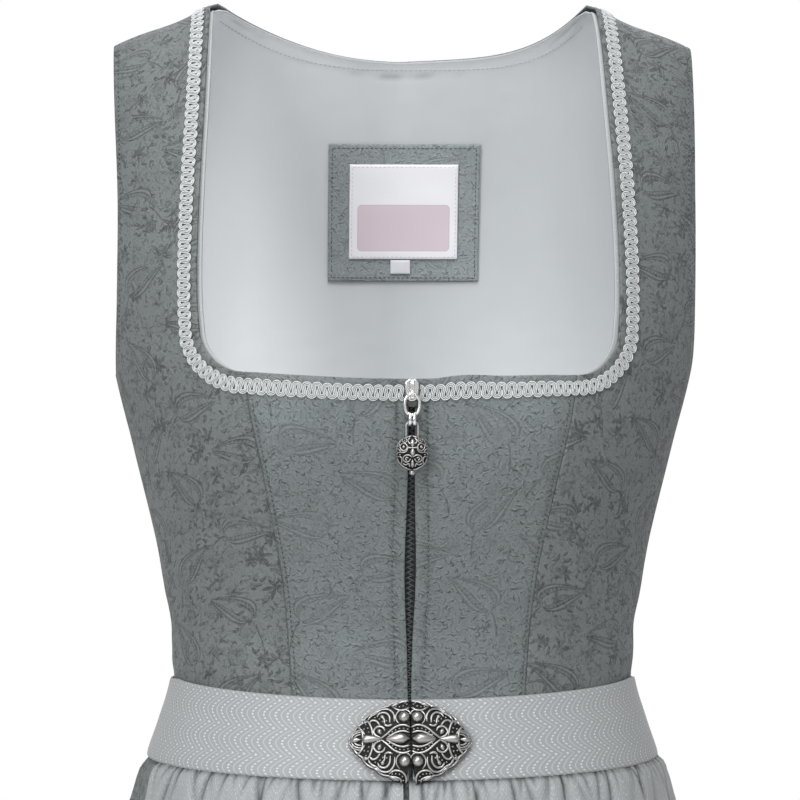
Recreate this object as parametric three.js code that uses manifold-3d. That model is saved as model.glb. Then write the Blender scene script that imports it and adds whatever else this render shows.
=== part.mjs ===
// A sleeveless dirndl with a front zip, a square neckline and a front-closing apron,
// filled out on a general figure. Millimetres, +Z up. The front faces -Y and the
// wearer's right is -X. The origin is where the wearer's shoulders carry the dress:
// midway between the neck ends of the two shoulder seams.
import * as THREE from "three";
import Module from "manifold-3d";

const wasm = await Module();
wasm.setup();

// Heights, from the shoulder seams down.
const ARMPIT_Z = -191;
const NECK_BOTTOM_Z = -191.2;
const WAIST_SEAM_Z = -370;
const APRON_HEM_Z = -925;
const HEM_Z = -968;

// Cloth thicknesses and the gaps between pieces.
const SHELL = 1.2;
const LINING = 1.0;
const SKIRT_CLOTH = 1.2;
const APRON_CLOTH = 1.0;
const BAND_CLOTH = 1.5;
const SEAM_GAP = 0.3;
const LINING_GAP = 2.0;
const LINING_SHOWS = 1.4;

// The shoulder strap at its seam: its neck end, its arm end and its slope.
const STRAP_NECK_X = 98.5;
const STRAP_ARM_X = 149.5;
const SHOULDER_SLOPE = 0.45;
const NECK_RIDGE_SLOPE = 0.25;
const BACK_NECK_DROP = 24.7;

// The general figure inside the cloth: half width, depth in front and behind, and the
// superellipse power of the section (2 is an ellipse), at each height.
const FIGURE = [
  { z: -968, half: 318, front: 292, back: 292, power: 2.0 },
  { z: -760, half: 256, front: 230, back: 229, power: 2.0 },
  { z: -600, half: 204, front: 178, back: 177, power: 2.05 },
  { z: -480, half: 160, front: 134, back: 133, power: 2.1 },
  { z: -430, half: 141, front: 114, back: 112, power: 2.15 },
  { z: -412, half: 135.2, front: 107.5, back: 105.5, power: 2.2 },
  { z: -395, half: 131.2, front: 103, back: 101, power: 2.25 },
  { z: -387, half: 128.8, front: 100.5, back: 98.5, power: 2.25 },
  { z: -370, half: 123, front: 94.5, back: 92.5, power: 2.3 },
  { z: -350, half: 117.3, front: 88.3, back: 85.6, power: 2.3 },
  { z: -338, half: 118.4, front: 88.6, back: 85.5, power: 2.3 },
  { z: -320, half: 118.8, front: 89.5, back: 86, power: 2.3 },
  { z: -304, half: 122, front: 93.5, back: 88.5, power: 2.3 },
  { z: -275, half: 127, front: 101, back: 92, power: 2.3 },
  { z: -228, half: 138.5, front: 113, back: 99, power: 2.3 },
  { z: -191, half: 147.8, front: 116, back: 103, power: 2.3 },
  { z: -150, half: 154, front: 108, back: 104, power: 2.3 },
  { z: -100, half: 156, front: 101, back: 101, power: 2.3 },
  { z: -50, half: 156.5, front: 96, back: 96, power: 2.3 },
  { z: 0, half: 156.5, front: 93, back: 92, power: 2.3 },
];

// The fullness that the curved front seams give over the bust.
const BUST = { x: 70, z: -228, spread: 42, rise: 48, depth: 12 };

// Seam and edge lines, as distance from the centre line at each height.
const PRINCESS_SEAM = [
  { z: -370, x: 57 },
  { z: -350, x: 58 },
  { z: -299, x: 62 },
  { z: -269, x: 67 },
  { z: -238, x: 73 },
  { z: -213, x: 78.5 },
  { z: -191, x: 81.4 },
];
const BACK_SEAM = [
  { z: -370, x: 44 },
  { z: -330, x: 46 },
  { z: -275, x: 54 },
  { z: -228, x: 68 },
  { z: -191, x: 83 },
  { z: -158, x: 101 },
  { z: -130, x: 121 },
  { z: -104, x: 145.5 },
];
const BACK_SEAM_TOP_Z = -106;
const ARMHOLE = [
  { z: -191, x: 147.6 },
  { z: -175, x: 147.4 },
  { z: -150, x: 147 },
  { z: -101, x: 146.8 },
  { z: -50, x: 148.2 },
  { z: 0, x: STRAP_ARM_X },
];
const NECK_SIDE = [
  { z: -170.2, x: 102.4 },
  { z: -156, x: 103.5 },
  { z: -131, x: 104 },
  { z: -90, x: 102.6 },
  { z: -56, x: 100.9 },
  { z: 0, x: STRAP_NECK_X },
];
const NECK_CORNER = { x: 81.4, z: -170.2, radius: 21 };
const NECK_DIP = 3.4;
const NECK_DIP_HALF = 81.4;

// Half the opening between the two zip edges of the bodice.
const ZIP_SLIT = [
  { z: -370, x: 0.5 },
  { z: -330, x: 1.3 },
  { z: -290, x: 2.8 },
  { z: -250, x: 1.9 },
  { z: -191, x: 1.5 },
];

// Heights of the grid rows that the bodice pieces share, so that seams match.
const LOWER_ROWS = [-370, -348, -324, -298, -272, -247, -222, NECK_BOTTOM_Z];
const CORNER_ROWS = [-189.6, -185.5, -179, -170.2];
const SIDE_TIP_ROWS = [-158, -143, -130, -118, -108];
const STRAP_ROWS = [-92, -74, -56, -38, -20, -7];
const LINING_UPPER_ROWS = [-187, -170.2, -143, -118, -92, -74, -56, -38, -20, -7];

// A smooth curve through a table's rows, for one of its columns.
function along(table, z, column) {
  const rising = table[0].z < table[table.length - 1].z ? table : [...table].reverse();
  const last = rising.length - 1;
  if (z <= rising[0].z) return rising[0][column];
  if (z >= rising[last].z) return rising[last][column];
  let i = 0;
  while (z > rising[i + 1].z) i++;
  const slope = (j) => {
    const low = rising[Math.max(0, j - 1)];
    const high = rising[Math.min(last, j + 1)];
    return (high[column] - low[column]) / (high.z - low.z);
  };
  const span = rising[i + 1].z - rising[i].z;
  const t = (z - rising[i].z) / span;
  return (
    rising[i][column] * (1 + 2 * t) * (1 - t) ** 2 +
    slope(i) * span * t * (1 - t) ** 2 +
    rising[i + 1][column] * t * t * (3 - 2 * t) +
    slope(i + 1) * span * t * t * (t - 1)
  );
}

const mix = (a, b, t) => a + (b - a) * t;

// The height of the shoulder ridge, where front and back meet.
function ridgeZ(x) {
  const past = Math.abs(x) - STRAP_NECK_X;
  return past > 0 ? -past * SHOULDER_SLOPE : -past * NECK_RIDGE_SLOPE;
}

// Above the armpit the sections close over the shoulder like a dome. climb is the
// angle of that dome, 0 at the armpit and a right angle on the ridge.
const climbAt = (z) => (z <= ARMPIT_Z ? 0 : Math.asin(Math.min(1, (z - ARMPIT_Z) / -ARMPIT_Z)));

// A point of the figure. turn is the angle round the body, 0 at the front and a right
// angle at the wearer's left. level is a height below the armpit, and a climb above it.
function figurePoint(turn, level) {
  const climb = Math.max(0, level.climb);
  const z = climb > 0 ? ARMPIT_Z * (1 - Math.sin(climb)) : level.z;
  const half = along(FIGURE, z, "half");
  const depth = along(FIGURE, z, Math.cos(turn) >= 0 ? "front" : "back");
  const power = along(FIGURE, z, "power");
  const s = Math.abs(Math.sin(turn)) / half;
  const c = Math.abs(Math.cos(turn)) / depth;
  const radius = (s ** power + c ** power) ** (-1 / power);
  const x = radius * Math.sin(turn);
  let y = -radius * Math.cos(turn);
  if (y < 0) {
    const across = (Math.abs(x) - BUST.x) / BUST.spread;
    const up = (z - BUST.z) / BUST.rise;
    const sideFade = Math.min(1, -y / 20);
    y -= BUST.depth * Math.exp(-across * across - up * up) * sideFade;
  }
  const height = climb > 0 ? mix(ARMPIT_Z, ridgeZ(x), Math.sin(climb)) : z;
  return new THREE.Vector3(x, y * Math.cos(climb), height);
}

const levelAt = (z) => ({ z: Math.min(z, ARMPIT_Z), climb: climbAt(z) });

// The next level up or down by a small step, for slopes.
function levelStep(level, step) {
  if (level.climb > 0) return { z: level.z, climb: Math.max(1e-6, level.climb + step / -ARMPIT_Z) };
  return { z: level.z + step, climb: 0 };
}

// The direction straight out of the figure's surface.
function outward(turn, level) {
  const step = 0.004;
  const around = figurePoint(turn + step, level).sub(figurePoint(turn - step, level));
  const up = figurePoint(turn, levelStep(level, 0.5)).sub(figurePoint(turn, levelStep(level, -0.5)));
  return around.cross(up).normalize();
}

// A point at a distance outside the figure, or inside it if the distance is negative.
function offFigure(turn, level, distance) {
  return figurePoint(turn, level).addScaledVector(outward(turn, level), distance);
}

// The turn at which the figure is x from the centre line, in front or behind.
function turnAt(x, z, behind = false) {
  const half = along(FIGURE, z, "half");
  const depth = along(FIGURE, z, behind ? "back" : "front");
  const power = along(FIGURE, z, "power");
  const share = Math.min(1, Math.abs(x) / half);
  const y = depth * (1 - share ** power) ** (1 / power);
  const turn = Math.atan2(Math.abs(x), behind ? -y : y);
  return Math.sign(x) * turn;
}

// A turn moved round the body by a distance along the cloth.
function nudge(turn, level, distance) {
  const step = 0.002;
  const length = figurePoint(turn + step, level).distanceTo(figurePoint(turn - step, level));
  return turn + (distance * 2 * step) / length;
}

// The line of the neckline on the strap and round its lower corner.
function neckX(z) {
  if (z >= NECK_CORNER.z) return along(NECK_SIDE, z, "x");
  const down = NECK_CORNER.z - z;
  return NECK_CORNER.x + Math.sqrt(Math.max(0, NECK_CORNER.radius ** 2 - down * down));
}

// The back of the neckline, as a drop below the shoulder.
const backNeckZ = (x) => -BACK_NECK_DROP * (1 - Math.min(1, Math.abs(x) / STRAP_NECK_X) ** 2.4);

// The front of the neckline between its corners.
const frontNeckZ = (x) => NECK_BOTTOM_Z - NECK_DIP * (1 - Math.min(1, Math.abs(x) / NECK_DIP_HALF) ** 2);

// A closed wall between an inner and an outer grid of points, each [row][column].
function wall(inner, outer) {
  const rows = inner.length;
  const columns = inner[0].length;
  const points = [...inner.flat(), ...outer.flat()];
  const within = (row, column) => row * columns + column;
  const without = (row, column) => (rows + row) * columns + column;
  const triangles = [];
  const quad = (a, b, c, d) => triangles.push([a, b, c], [a, c, d]);
  for (let r = 0; r < rows - 1; r++) {
    for (let c = 0; c < columns - 1; c++) {
      quad(without(r, c), without(r, c + 1), without(r + 1, c + 1), without(r + 1, c));
      quad(within(r, c), within(r + 1, c), within(r + 1, c + 1), within(r, c + 1));
    }
  }
  const top = rows - 1;
  for (let c = 0; c < columns - 1; c++) {
    quad(within(0, c), within(0, c + 1), without(0, c + 1), without(0, c));
    quad(within(top, c), without(top, c), without(top, c + 1), within(top, c + 1));
  }
  const end = columns - 1;
  for (let r = 0; r < rows - 1; r++) {
    quad(within(r, 0), without(r, 0), without(r + 1, 0), within(r + 1, 0));
    quad(within(r, end), within(r + 1, end), without(r + 1, end), without(r, end));
  }
  return geometryOf(points, triangles);
}

// A geometry from points and triangles, with its faces turned out.
function geometryOf(points, triangles) {
  let volume = 0;
  for (const [a, b, c] of triangles) volume += points[a].dot(points[b].clone().cross(points[c]));
  const geometry = new THREE.BufferGeometry();
  const coordinates = points.flatMap((p) => p.toArray());
  geometry.setAttribute("position", new THREE.Float32BufferAttribute(coordinates, 3));
  geometry.setIndex(triangles.flatMap(([a, b, c]) => (volume < 0 ? [a, c, b] : [a, b, c])));
  geometry.computeVertexNormals();
  return geometry;
}

// A mirror image of a geometry, across the garment's centre plane.
function mirrored(geometry) {
  const position = geometry.getAttribute("position");
  const points = [];
  for (let i = 0; i < position.count; i++) {
    points.push(new THREE.Vector3(-position.getX(i), position.getY(i), position.getZ(i)));
  }
  const index = geometry.getIndex().array;
  const triangles = [];
  for (let i = 0; i < index.length; i += 3) triangles.push([index[i], index[i + 1], index[i + 2]]);
  return geometryOf(points, triangles);
}

// A bodice piece. levels gives the level at each row for a share across, edges the
// turns of its two sides at a level, and the wall lies between two distances.
function bodicePiece(rowCount, columnCount, levelOf, edges, inside, outside) {
  const inner = [];
  const outer = [];
  for (let r = 0; r < rowCount; r++) {
    const innerRow = [];
    const outerRow = [];
    for (let c = 0; c <= columnCount; c++) {
      const share = c / columnCount;
      const level = levelOf(r, share);
      const [from, to] = edges(level, r);
      const turn = mix(from, to, share);
      innerRow.push(offFigure(turn, level, inside));
      outerRow.push(offFigure(turn, level, outside));
    }
    inner.push(innerRow);
    outer.push(outerRow);
  }
  return wall(inner, outer);
}

// The height that a level stands for, before the shoulder's slope.
const heightOf = (level) => (level.climb > 0 ? ARMPIT_Z * (1 - Math.sin(level.climb)) : level.z);

// The last level under the shoulder seam, half a seam gap from the ridge.
const SEAM_LEVEL = { z: ARMPIT_Z, climb: Math.PI / 2 - 0.003 };
const SIDE_TURN = Math.PI / 2;
const HALF_GAP = SEAM_GAP / 2;

// Front panel, wearer's left, from the zip to the curved seam.
function frontPanel(inside, outside, zipSide, columns) {
  const top = LOWER_ROWS.length - 1;
  const levelOf = (row, share) => {
    const x = share * NECK_DIP_HALF;
    return levelAt(row === top ? frontNeckZ(x) : LOWER_ROWS[row]);
  };
  const edges = (level) => {
    const z = heightOf(level);
    const seam = turnAt(along(PRINCESS_SEAM, z, "x"), z);
    return [turnAt(zipSide(z), z), nudge(seam, level, -HALF_GAP)];
  };
  return bodicePiece(LOWER_ROWS.length, columns, levelOf, edges, inside, outside);
}

// Side-front panel, wearer's left, with the front of its strap. neckShift moves the
// neck edge, so that the lining can show past the shell.
function sideFrontPanel(inside, outside, upperRows, neckShift, columns) {
  const heights = [...LOWER_ROWS, ...upperRows];
  const levelOf = (row) => (row < heights.length ? levelAt(heights[row]) : SEAM_LEVEL);
  const edges = (level) => {
    const z = heightOf(level);
    if (z <= NECK_BOTTOM_Z) {
      const seam = turnAt(along(PRINCESS_SEAM, z, "x"), z);
      return [nudge(seam, level, HALF_GAP), nudge(SIDE_TURN, level, -HALF_GAP)];
    }
    return [turnAt(neckX(z) - neckShift, z), turnAt(along(ARMHOLE, z, "x"), z)];
  };
  return bodicePiece(heights.length + 1, columns, levelOf, edges, inside, outside);
}

// Side-back panel, wearer's left, from the curved back seam to the side seam.
function sideBackPanel(inside, outside, columns) {
  const heights = [...LOWER_ROWS, ...CORNER_ROWS, ...SIDE_TIP_ROWS];
  const levelOf = (row) => levelAt(heights[row]);
  const edges = (level) => {
    const z = heightOf(level);
    const seam = turnAt(along(BACK_SEAM, z, "x"), z, true);
    const armhole = turnAt(along(ARMHOLE, z, "x"), z, true);
    const side = z <= NECK_BOTTOM_Z ? nudge(SIDE_TURN, level, HALF_GAP) : armhole;
    return [side, nudge(seam, level, -HALF_GAP)];
  };
  return bodicePiece(heights.length, columns, levelOf, edges, inside, outside);
}

// A back piece across the centre, with both its straps. sideEdge gives the distance
// of its sides from the centre line, or nothing where it reaches the side seam.
function backPiece(inside, outside, upperRows, fixedRows, sideEdge, neckShift, columns) {
  const heights = [...LOWER_ROWS, ...upperRows];
  const rows = heights.length + 1;
  const start = levelAt(heights[fixedRows - 1]).climb;
  const topClimb = (across) => {
    const x = Math.abs(across) * STRAP_ARM_X;
    if (x >= STRAP_NECK_X) return SEAM_LEVEL.climb;
    const z = backNeckZ(x) + neckShift;
    return Math.min(SEAM_LEVEL.climb, Math.asin((z - ARMPIT_Z) / (ridgeZ(x) - ARMPIT_Z)));
  };
  const levelOf = (row, share) => {
    if (row < fixedRows) return levelAt(heights[row]);
    const full = row < heights.length ? climbAt(heights[row]) : SEAM_LEVEL.climb;
    const part = (full - start) / (SEAM_LEVEL.climb - start);
    return { z: ARMPIT_Z, climb: mix(start, topClimb(2 * share - 1), part) };
  };
  const edges = (level) => {
    const z = heightOf(level);
    const x = sideEdge(z);
    const turn = x === null ? SIDE_TURN : turnAt(x, z, true);
    const edge = z < BACK_SEAM_TOP_Z || x === null ? nudge(turn, level, HALF_GAP) : turn;
    return [edge, 2 * Math.PI - edge];
  };
  return bodicePiece(rows, columns, levelOf, edges, inside, outside);
}

// The centre back follows the curved seam, and above it the armhole.
const centreBackSide = (z) => (z < BACK_SEAM_TOP_Z ? along(BACK_SEAM, z, "x") : along(ARMHOLE, z, "x"));
const liningBackSide = (z) => (z <= NECK_BOTTOM_Z ? null : along(ARMHOLE, z, "x"));

// The braid beside the neckline, from the zip round the corner to the shoulder. It
// lies beyond a narrow strip of the dress cloth and is wider below than on the strap.
const BRAID_LINE = { inset: 2.6, thick: 1.3, lift: 0.5, zipEnd: 4 };
const BRAID_WIDTH = [
  { z: -191, width: 7.7 },
  { z: -160, width: 7.2 },
  { z: -100, width: 7 },
  { z: 0, width: 6.4 },
];
const BRAID_STEPS = { straight: 7, corner: 9 };
const BRAID_STRAP_ROWS = [-160, -146, -132, -118, -104, -90, -77, -64, -52, -41, -31, -22, -14, -8, -3];

// The braid's centre line or one of its edges: across is 0 at its inner edge.
function braidLine(across) {
  const corner = NECK_CORNER;
  const distance = (z) => BRAID_LINE.inset + across * along(BRAID_WIDTH, z, "width");
  const line = [];
  for (let i = 0; i <= BRAID_STEPS.straight; i++) {
    const x = mix(BRAID_LINE.zipEnd, corner.x, i / BRAID_STEPS.straight);
    line.push([x, frontNeckZ(x) - distance(ARMPIT_Z)]);
  }
  for (let i = 1; i <= BRAID_STEPS.corner; i++) {
    const angle = (i / BRAID_STEPS.corner) * (Math.PI / 2);
    const radius = corner.radius + distance(corner.z - corner.radius * Math.cos(angle));
    line.push([corner.x + radius * Math.sin(angle), corner.z - radius * Math.cos(angle)]);
  }
  for (const z of BRAID_STRAP_ROWS) line.push([neckX(z) + distance(z), z]);
  const steps = line.map(([x, z]) => ({ turn: turnAt(x, z), level: levelAt(z) }));
  steps.push({ turn: turnAt(STRAP_NECK_X + distance(0), 0), level: SEAM_LEVEL });
  return steps;
}

function braidStrip() {
  const lines = [0, 0.5, 1].map(braidLine);
  const base = SHELL + BRAID_LINE.lift;
  const crown = [0.7, 1, 0.7];
  const inner = [];
  const outer = [];
  for (let i = 0; i < lines[0].length; i++) {
    inner.push(lines.map((line) => offFigure(line[i].turn, line[i].level, base)));
    const face = (line, j) => offFigure(line[i].turn, line[i].level, base + BRAID_LINE.thick * crown[j]);
    outer.push(lines.map(face));
  }
  return wall(inner, outer);
}

// The zip: its tape behind the two front panels, with the coil as a ridge along it.
const ZIP = { tapeHalf: 11.5, coilHalf: 2.2, tapeIn: -2.2, tapeOut: -1.4, coilOut: -0.3, top: -197 };

function zipTape() {
  const heights = LOWER_ROWS.slice(0, -1).concat([ZIP.top]);
  const { tapeHalf, coilHalf } = ZIP;
  const across = [-tapeHalf, -coilHalf, -coilHalf * 0.6, coilHalf * 0.6, coilHalf, tapeHalf];
  const raised = [0, 0, 1, 1, 0, 0];
  const inner = [];
  const outer = [];
  for (const z of heights) {
    const level = levelAt(z);
    inner.push(across.map((x) => offFigure(turnAt(x, z), level, ZIP.tapeIn)));
    outer.push(
      across.map((x, i) => offFigure(turnAt(x, z), level, raised[i] ? ZIP.coilOut : ZIP.tapeOut)),
    );
  }
  return wall(inner, outer);
}

// The skirt: folds that start flat under the band and deepen to the hem. Three
// columns make one fold, a valley and two crests, so the crests are broad. The
// apron's rows are rows of the skirt too, so the apron can lie on its folds.
const APRON_ROWS = [-395, -404, -420, -470, -570, -730, APRON_HEM_Z];
const SKIRT_ROWS = [WAIST_SEAM_Z - SEAM_GAP, ...APRON_ROWS, HEM_Z];
const FOLD_COLUMNS = 3;
const SKIRT_FOLDS = 36;
const SKIRT_COLUMNS = SKIRT_FOLDS * FOLD_COLUMNS;
const FOLD_DEPTH = [
  { z: -395, depth: 0, sided: 1 },
  { z: -404, depth: 2.6, sided: 1 },
  { z: -420, depth: 5.5, sided: 1 },
  { z: -470, depth: 10, sided: 0.6 },
  { z: -570, depth: 17, sided: 0.2 },
  { z: -730, depth: 24, sided: 0 },
  { z: HEM_Z, depth: 32, sided: 0 },
];
// Close under the waist the folds are looser on the wearer's right by this share.
const FOLD_LOOSER = 0.35;

// An uneven share between 0 and 1 for the fold with this number.
const uneven = (n, seed) => 0.5 + 0.32 * Math.sin(n * 2.4 + seed) + 0.18 * Math.sin(n * 5.1 + 2 * seed);

// The turn of a skirt column, counted from the front centre. The folds sway sideways
// on their way down.
function skirtTurn(column, z) {
  const even = (column / SKIRT_COLUMNS) * 2 * Math.PI;
  const down = Math.max(0, (-395 - z) / (-395 - HEM_Z));
  return even + 0.012 * down * Math.sin(even * 9 + 1.3) * Math.sin(even) ** 2;
}

function skirtOffset(column, z) {
  const whole = Math.round(column);
  if (whole % FOLD_COLUMNS === 0) return 0;
  const fold = Math.floor(whole / FOLD_COLUMNS);
  const lean = whole % FOLD_COLUMNS === 1 ? 1 : 0.86;
  const even = (whole / SKIRT_COLUMNS) * 2 * Math.PI;
  const looseSide = 1 - FOLD_LOOSER * Math.sin(even) * along(FOLD_DEPTH, z, "sided");
  return along(FOLD_DEPTH, z, "depth") * mix(0.62, 1, uneven(fold, 0.7)) * lean * looseSide;
}

const wrapped = (column) => (column + 4 * SKIRT_COLUMNS) % SKIRT_COLUMNS;

// A point on or off the skirt's outer face, at a whole column.
function skirtPoint(column, z, distance) {
  const level = { z, climb: 0 };
  return offFigure(skirtTurn(column, z), level, skirtOffset(wrapped(column), z) + distance);
}

// A half of the skirt, from one side seam to the other.
function skirtHalf(firstColumn, lastColumn) {
  const inner = [];
  const outer = [];
  for (const z of SKIRT_ROWS) {
    const innerRow = [];
    const outerRow = [];
    for (let c = firstColumn; c <= lastColumn; c++) {
      const end = c === firstColumn ? HALF_GAP : c === lastColumn ? -HALF_GAP : 0;
      const turn = skirtTurn(c, z);
      const level = { z, climb: 0 };
      const seamTurn = end ? nudge(turn, level, end) : turn;
      const fold = skirtOffset(wrapped(c), z);
      innerRow.push(offFigure(seamTurn, level, fold));
      outerRow.push(offFigure(seamTurn, level, fold + SKIRT_CLOTH));
    }
    inner.push(innerRow);
    outer.push(outerRow);
  }
  return wall(inner, outer);
}

// The apron band: a belt of two layers over the waist seam, open at the front centre.
const BAND = { top: -349.5, bottom: -388.5, dip: 4.5, lift: SHELL + 0.8, gapHalf: 1.0, columns: 60 };
const bandDip = (turn) => -BAND.dip * Math.max(0, Math.cos(turn));

function apronBand() {
  const inner = [];
  const outer = [];
  for (const share of [0, 0.5, 1]) {
    const innerRow = [];
    const outerRow = [];
    for (let c = 0; c <= BAND.columns; c++) {
      const z0 = mix(BAND.bottom, BAND.top, share) - BAND.dip;
      const opening = Math.asin(BAND.gapHalf / along(FIGURE, z0, "front"));
      const turn = mix(opening, 2 * Math.PI - opening, c / BAND.columns);
      const level = { z: mix(BAND.bottom, BAND.top, share) + bandDip(turn), climb: 0 };
      innerRow.push(offFigure(turn, level, BAND.lift));
      outerRow.push(offFigure(turn, level, BAND.lift + BAND_CLOTH));
    }
    inner.push(innerRow);
    outer.push(outerRow);
  }
  return wall(inner, outer);
}

// The apron's two halves. Each lies on the skirt's folds and adds the small gathers
// that hang from the band. Two of its columns fit one of the skirt's.
const APRON_FINENESS = 2;
const APRON_LEFT = { side: 1, first: 0.5, last: 25, edge: "left" };
const APRON_RIGHT = { side: -1, first: 1, last: 23, edge: "right" };
const APRON_END_COLUMNS = 4;
const GATHERS = [
  { z: -395, depth: 0.6, gap: 1.0 },
  { z: -404, depth: 3.0, gap: 1.2 },
  { z: -420, depth: 5.0, gap: 1.5 },
  { z: -470, depth: 6.0, gap: 2.0 },
  { z: -570, depth: 6.0, gap: 2.4 },
  { z: -730, depth: 6.5, gap: 2.6 },
  { z: APRON_HEM_Z, depth: 8.0, gap: 2.6 },
];
// The front edges of the two halves, as distances from the centre line.
const APRON_EDGE = [
  { z: -395, left: -0.9, right: 3.8 },
  { z: -420, left: -0.9, right: 3.9 },
  { z: -470, left: 0, right: 4.2 },
  { z: -570, left: 1.5, right: 5.5 },
  { z: APRON_HEM_Z, left: 5, right: 8.5 },
];

// How far a gather stands out. The gathers are slighter at the apron's outer end.
function gatherOffset(index, half, z) {
  if (index % FOLD_COLUMNS === 0) return 0;
  const gather = Math.floor(index / FOLD_COLUMNS);
  const lean = index % FOLD_COLUMNS === 1 ? 1 : 0.8;
  const toEnd = Math.min(1, (half.last - index / APRON_FINENESS) / APRON_END_COLUMNS);
  const depth = along(GATHERS, z, "depth") * mix(0.45, 1, uneven(gather, 2.1));
  return depth * lean * mix(0.5, 1, toEnd);
}

// The columns always run towards the wearer's left, like the skirt's.
function apronHalf(half) {
  const columns = [0];
  for (let c = half.first; c <= half.last; c += 1 / APRON_FINENESS) columns.push(c);
  if (half.side < 0) columns.reverse();
  const inner = [];
  const outer = [];
  for (const z of APRON_ROWS) {
    const columnWidth = (along(FIGURE, z, "front") * 2 * Math.PI) / SKIRT_COLUMNS;
    const edge = along(APRON_EDGE, z, half.edge) / columnWidth;
    const innerRow = [];
    const outerRow = [];
    for (const from of columns) {
      const column = half.side * (from === 0 ? edge : from);
      const low = Math.floor(column);
      const index = Math.round(from * APRON_FINENESS);
      const lift = SKIRT_CLOTH + along(GATHERS, z, "gap") + gatherOffset(index, half, z);
      const cloth = (distance) =>
        skirtPoint(low, z, distance).lerp(skirtPoint(low + 1, z, distance), column - low);
      innerRow.push(cloth(lift));
      outerRow.push(cloth(lift + APRON_CLOTH));
    }
    inner.push(innerRow);
    outer.push(outerRow);
  }
  return wall(inner, outer);
}

// The clasp: two domed halves of one pointed oval, cast with lobes and bosses. Each
// half is a shell, open behind, whose rim rests on the band.
const CLASP = { half: 28.8, up: 20.2, gap: 0.4, dome: 6.2, wall: 1.3, scallops: 9 };
const CLASP_RINGS = 6;
const CLASP_SPOKES = 20;
const CLASP_Z = -374.9;
const CLASP_BOSSES = [
  { x: 9, z: 0, spread: 7.5, tall: 1.6 },
  { x: 21, z: 0, spread: 4.5, tall: 1.1 },
  { x: 27, z: 0, spread: 3, tall: 0.9 },
  { x: 4.5, z: 9.5, spread: 3.6, tall: 1.7 },
  { x: 4.5, z: -9.5, spread: 3.6, tall: 1.7 },
  { x: 14, z: 9.5, spread: 3.6, tall: 1.0 },
  { x: 14, z: -9.5, spread: 3.6, tall: 1.0 },
];

// How far the clasp stands above its base plane, and the band's curve under it.
function claspRelief(x, z, share) {
  let height = CLASP.dome * Math.sqrt(Math.max(0, 1 - share ** 2.4));
  for (const boss of CLASP_BOSSES) {
    const away = ((x - boss.x) ** 2 + (z - boss.z) ** 2) / boss.spread ** 2;
    height += boss.tall * Math.exp(-away) * Math.min(1, 4 * (1 - share));
  }
  return height;
}

function claspHalf() {
  const inner = [];
  const outer = [];
  const rim = CLASP.wall + 0.2;
  const point = (x, z, height) => {
    const at = CLASP_Z + z;
    const turn = turnAt(x, at);
    return offFigure(turn, { z: at, climb: 0 }, BAND.lift + BAND_CLOTH + SEAM_GAP + 0.2 + height);
  };
  for (let r = 0; r <= CLASP_RINGS; r++) {
    const share = Math.sin(((r / CLASP_RINGS) * Math.PI) / 2);
    const innerRow = [];
    const outerRow = [];
    for (let s = 0; s <= CLASP_SPOKES; s++) {
      const angle = mix(-Math.PI / 2, Math.PI / 2, s / CLASP_SPOKES);
      const scallop = 1 + 0.025 * Math.cos(angle * 2 * CLASP.scallops) * share;
      const reach = Math.cos(angle) ** 0.9;
      const inset = 1 - CLASP.wall / CLASP.up;
      const x = CLASP.gap + share * scallop * CLASP.half * reach;
      const z = share * scallop * CLASP.up * Math.sin(angle);
      outerRow.push(point(x, z, rim + claspRelief(x, z, share)));
      const hollow = Math.max(0, CLASP.dome * Math.sqrt(Math.max(0, 1 - share ** 2.4)) - CLASP.wall);
      innerRow.push(point(CLASP.gap + (x - CLASP.gap) * inset, z * inset, hollow));
    }
    inner.push(innerRow);
    outer.push(outerRow);
  }
  return wall(fannedCentre(inner), fannedCentre(outer));
}

// The first ring of a fan is one point. It is spread a little, so that no face is
// without area.
function fannedCentre(grid) {
  const spread = 0.08;
  const next = grid[1];
  grid[0] = grid[0].map((p, i) => p.clone().lerp(next[i], spread));
  return grid;
}

// The zip slider, the link that hangs from its bridge, and the charm on the link.
const SLIDER = { z: -200, width: 7.4, tall: 10.5, thick: 2.2 };
const BRIDGE = { width: 2.2, space: 2.5, thick: 1.1, leg: 1.3 };
const LINK = { wire: 1.5, half: 3.55, tall: 10 };
const EYE = { drop: 12.1, halfDeep: 2.6, halfTall: 3.25, thick: 0.95, wide: 2.1 };
const CHARM = { wire: 1.1, bailHalf: 2.9, bailDrop: 7, half: 8.05, tall: 8.9, deep: 4.6, bead: 1.5 };

// The cloth's outer face on the centre line at a height, as a depth along Y.
const frontFace = (z) => -figurePoint(0, levelAt(z)).y + SHELL;

// A rounded wire along a closed or open list of points.
function wire(points, thickness, closed, steps, sides = 8) {
  const curve = new THREE.CatmullRomCurve3(points, closed, "centripetal");
  const section = new THREE.Shape();
  for (let i = 0; i < sides; i++) {
    const angle = (i / sides) * 2 * Math.PI;
    const x = (thickness / 2) * Math.cos(angle);
    const y = (thickness / 2) * Math.sin(angle);
    if (i === 0) section.moveTo(x, y);
    else section.lineTo(x, y);
  }
  return new THREE.ExtrudeGeometry(section, { steps, extrudePath: curve, curveSegments: sides });
}

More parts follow.
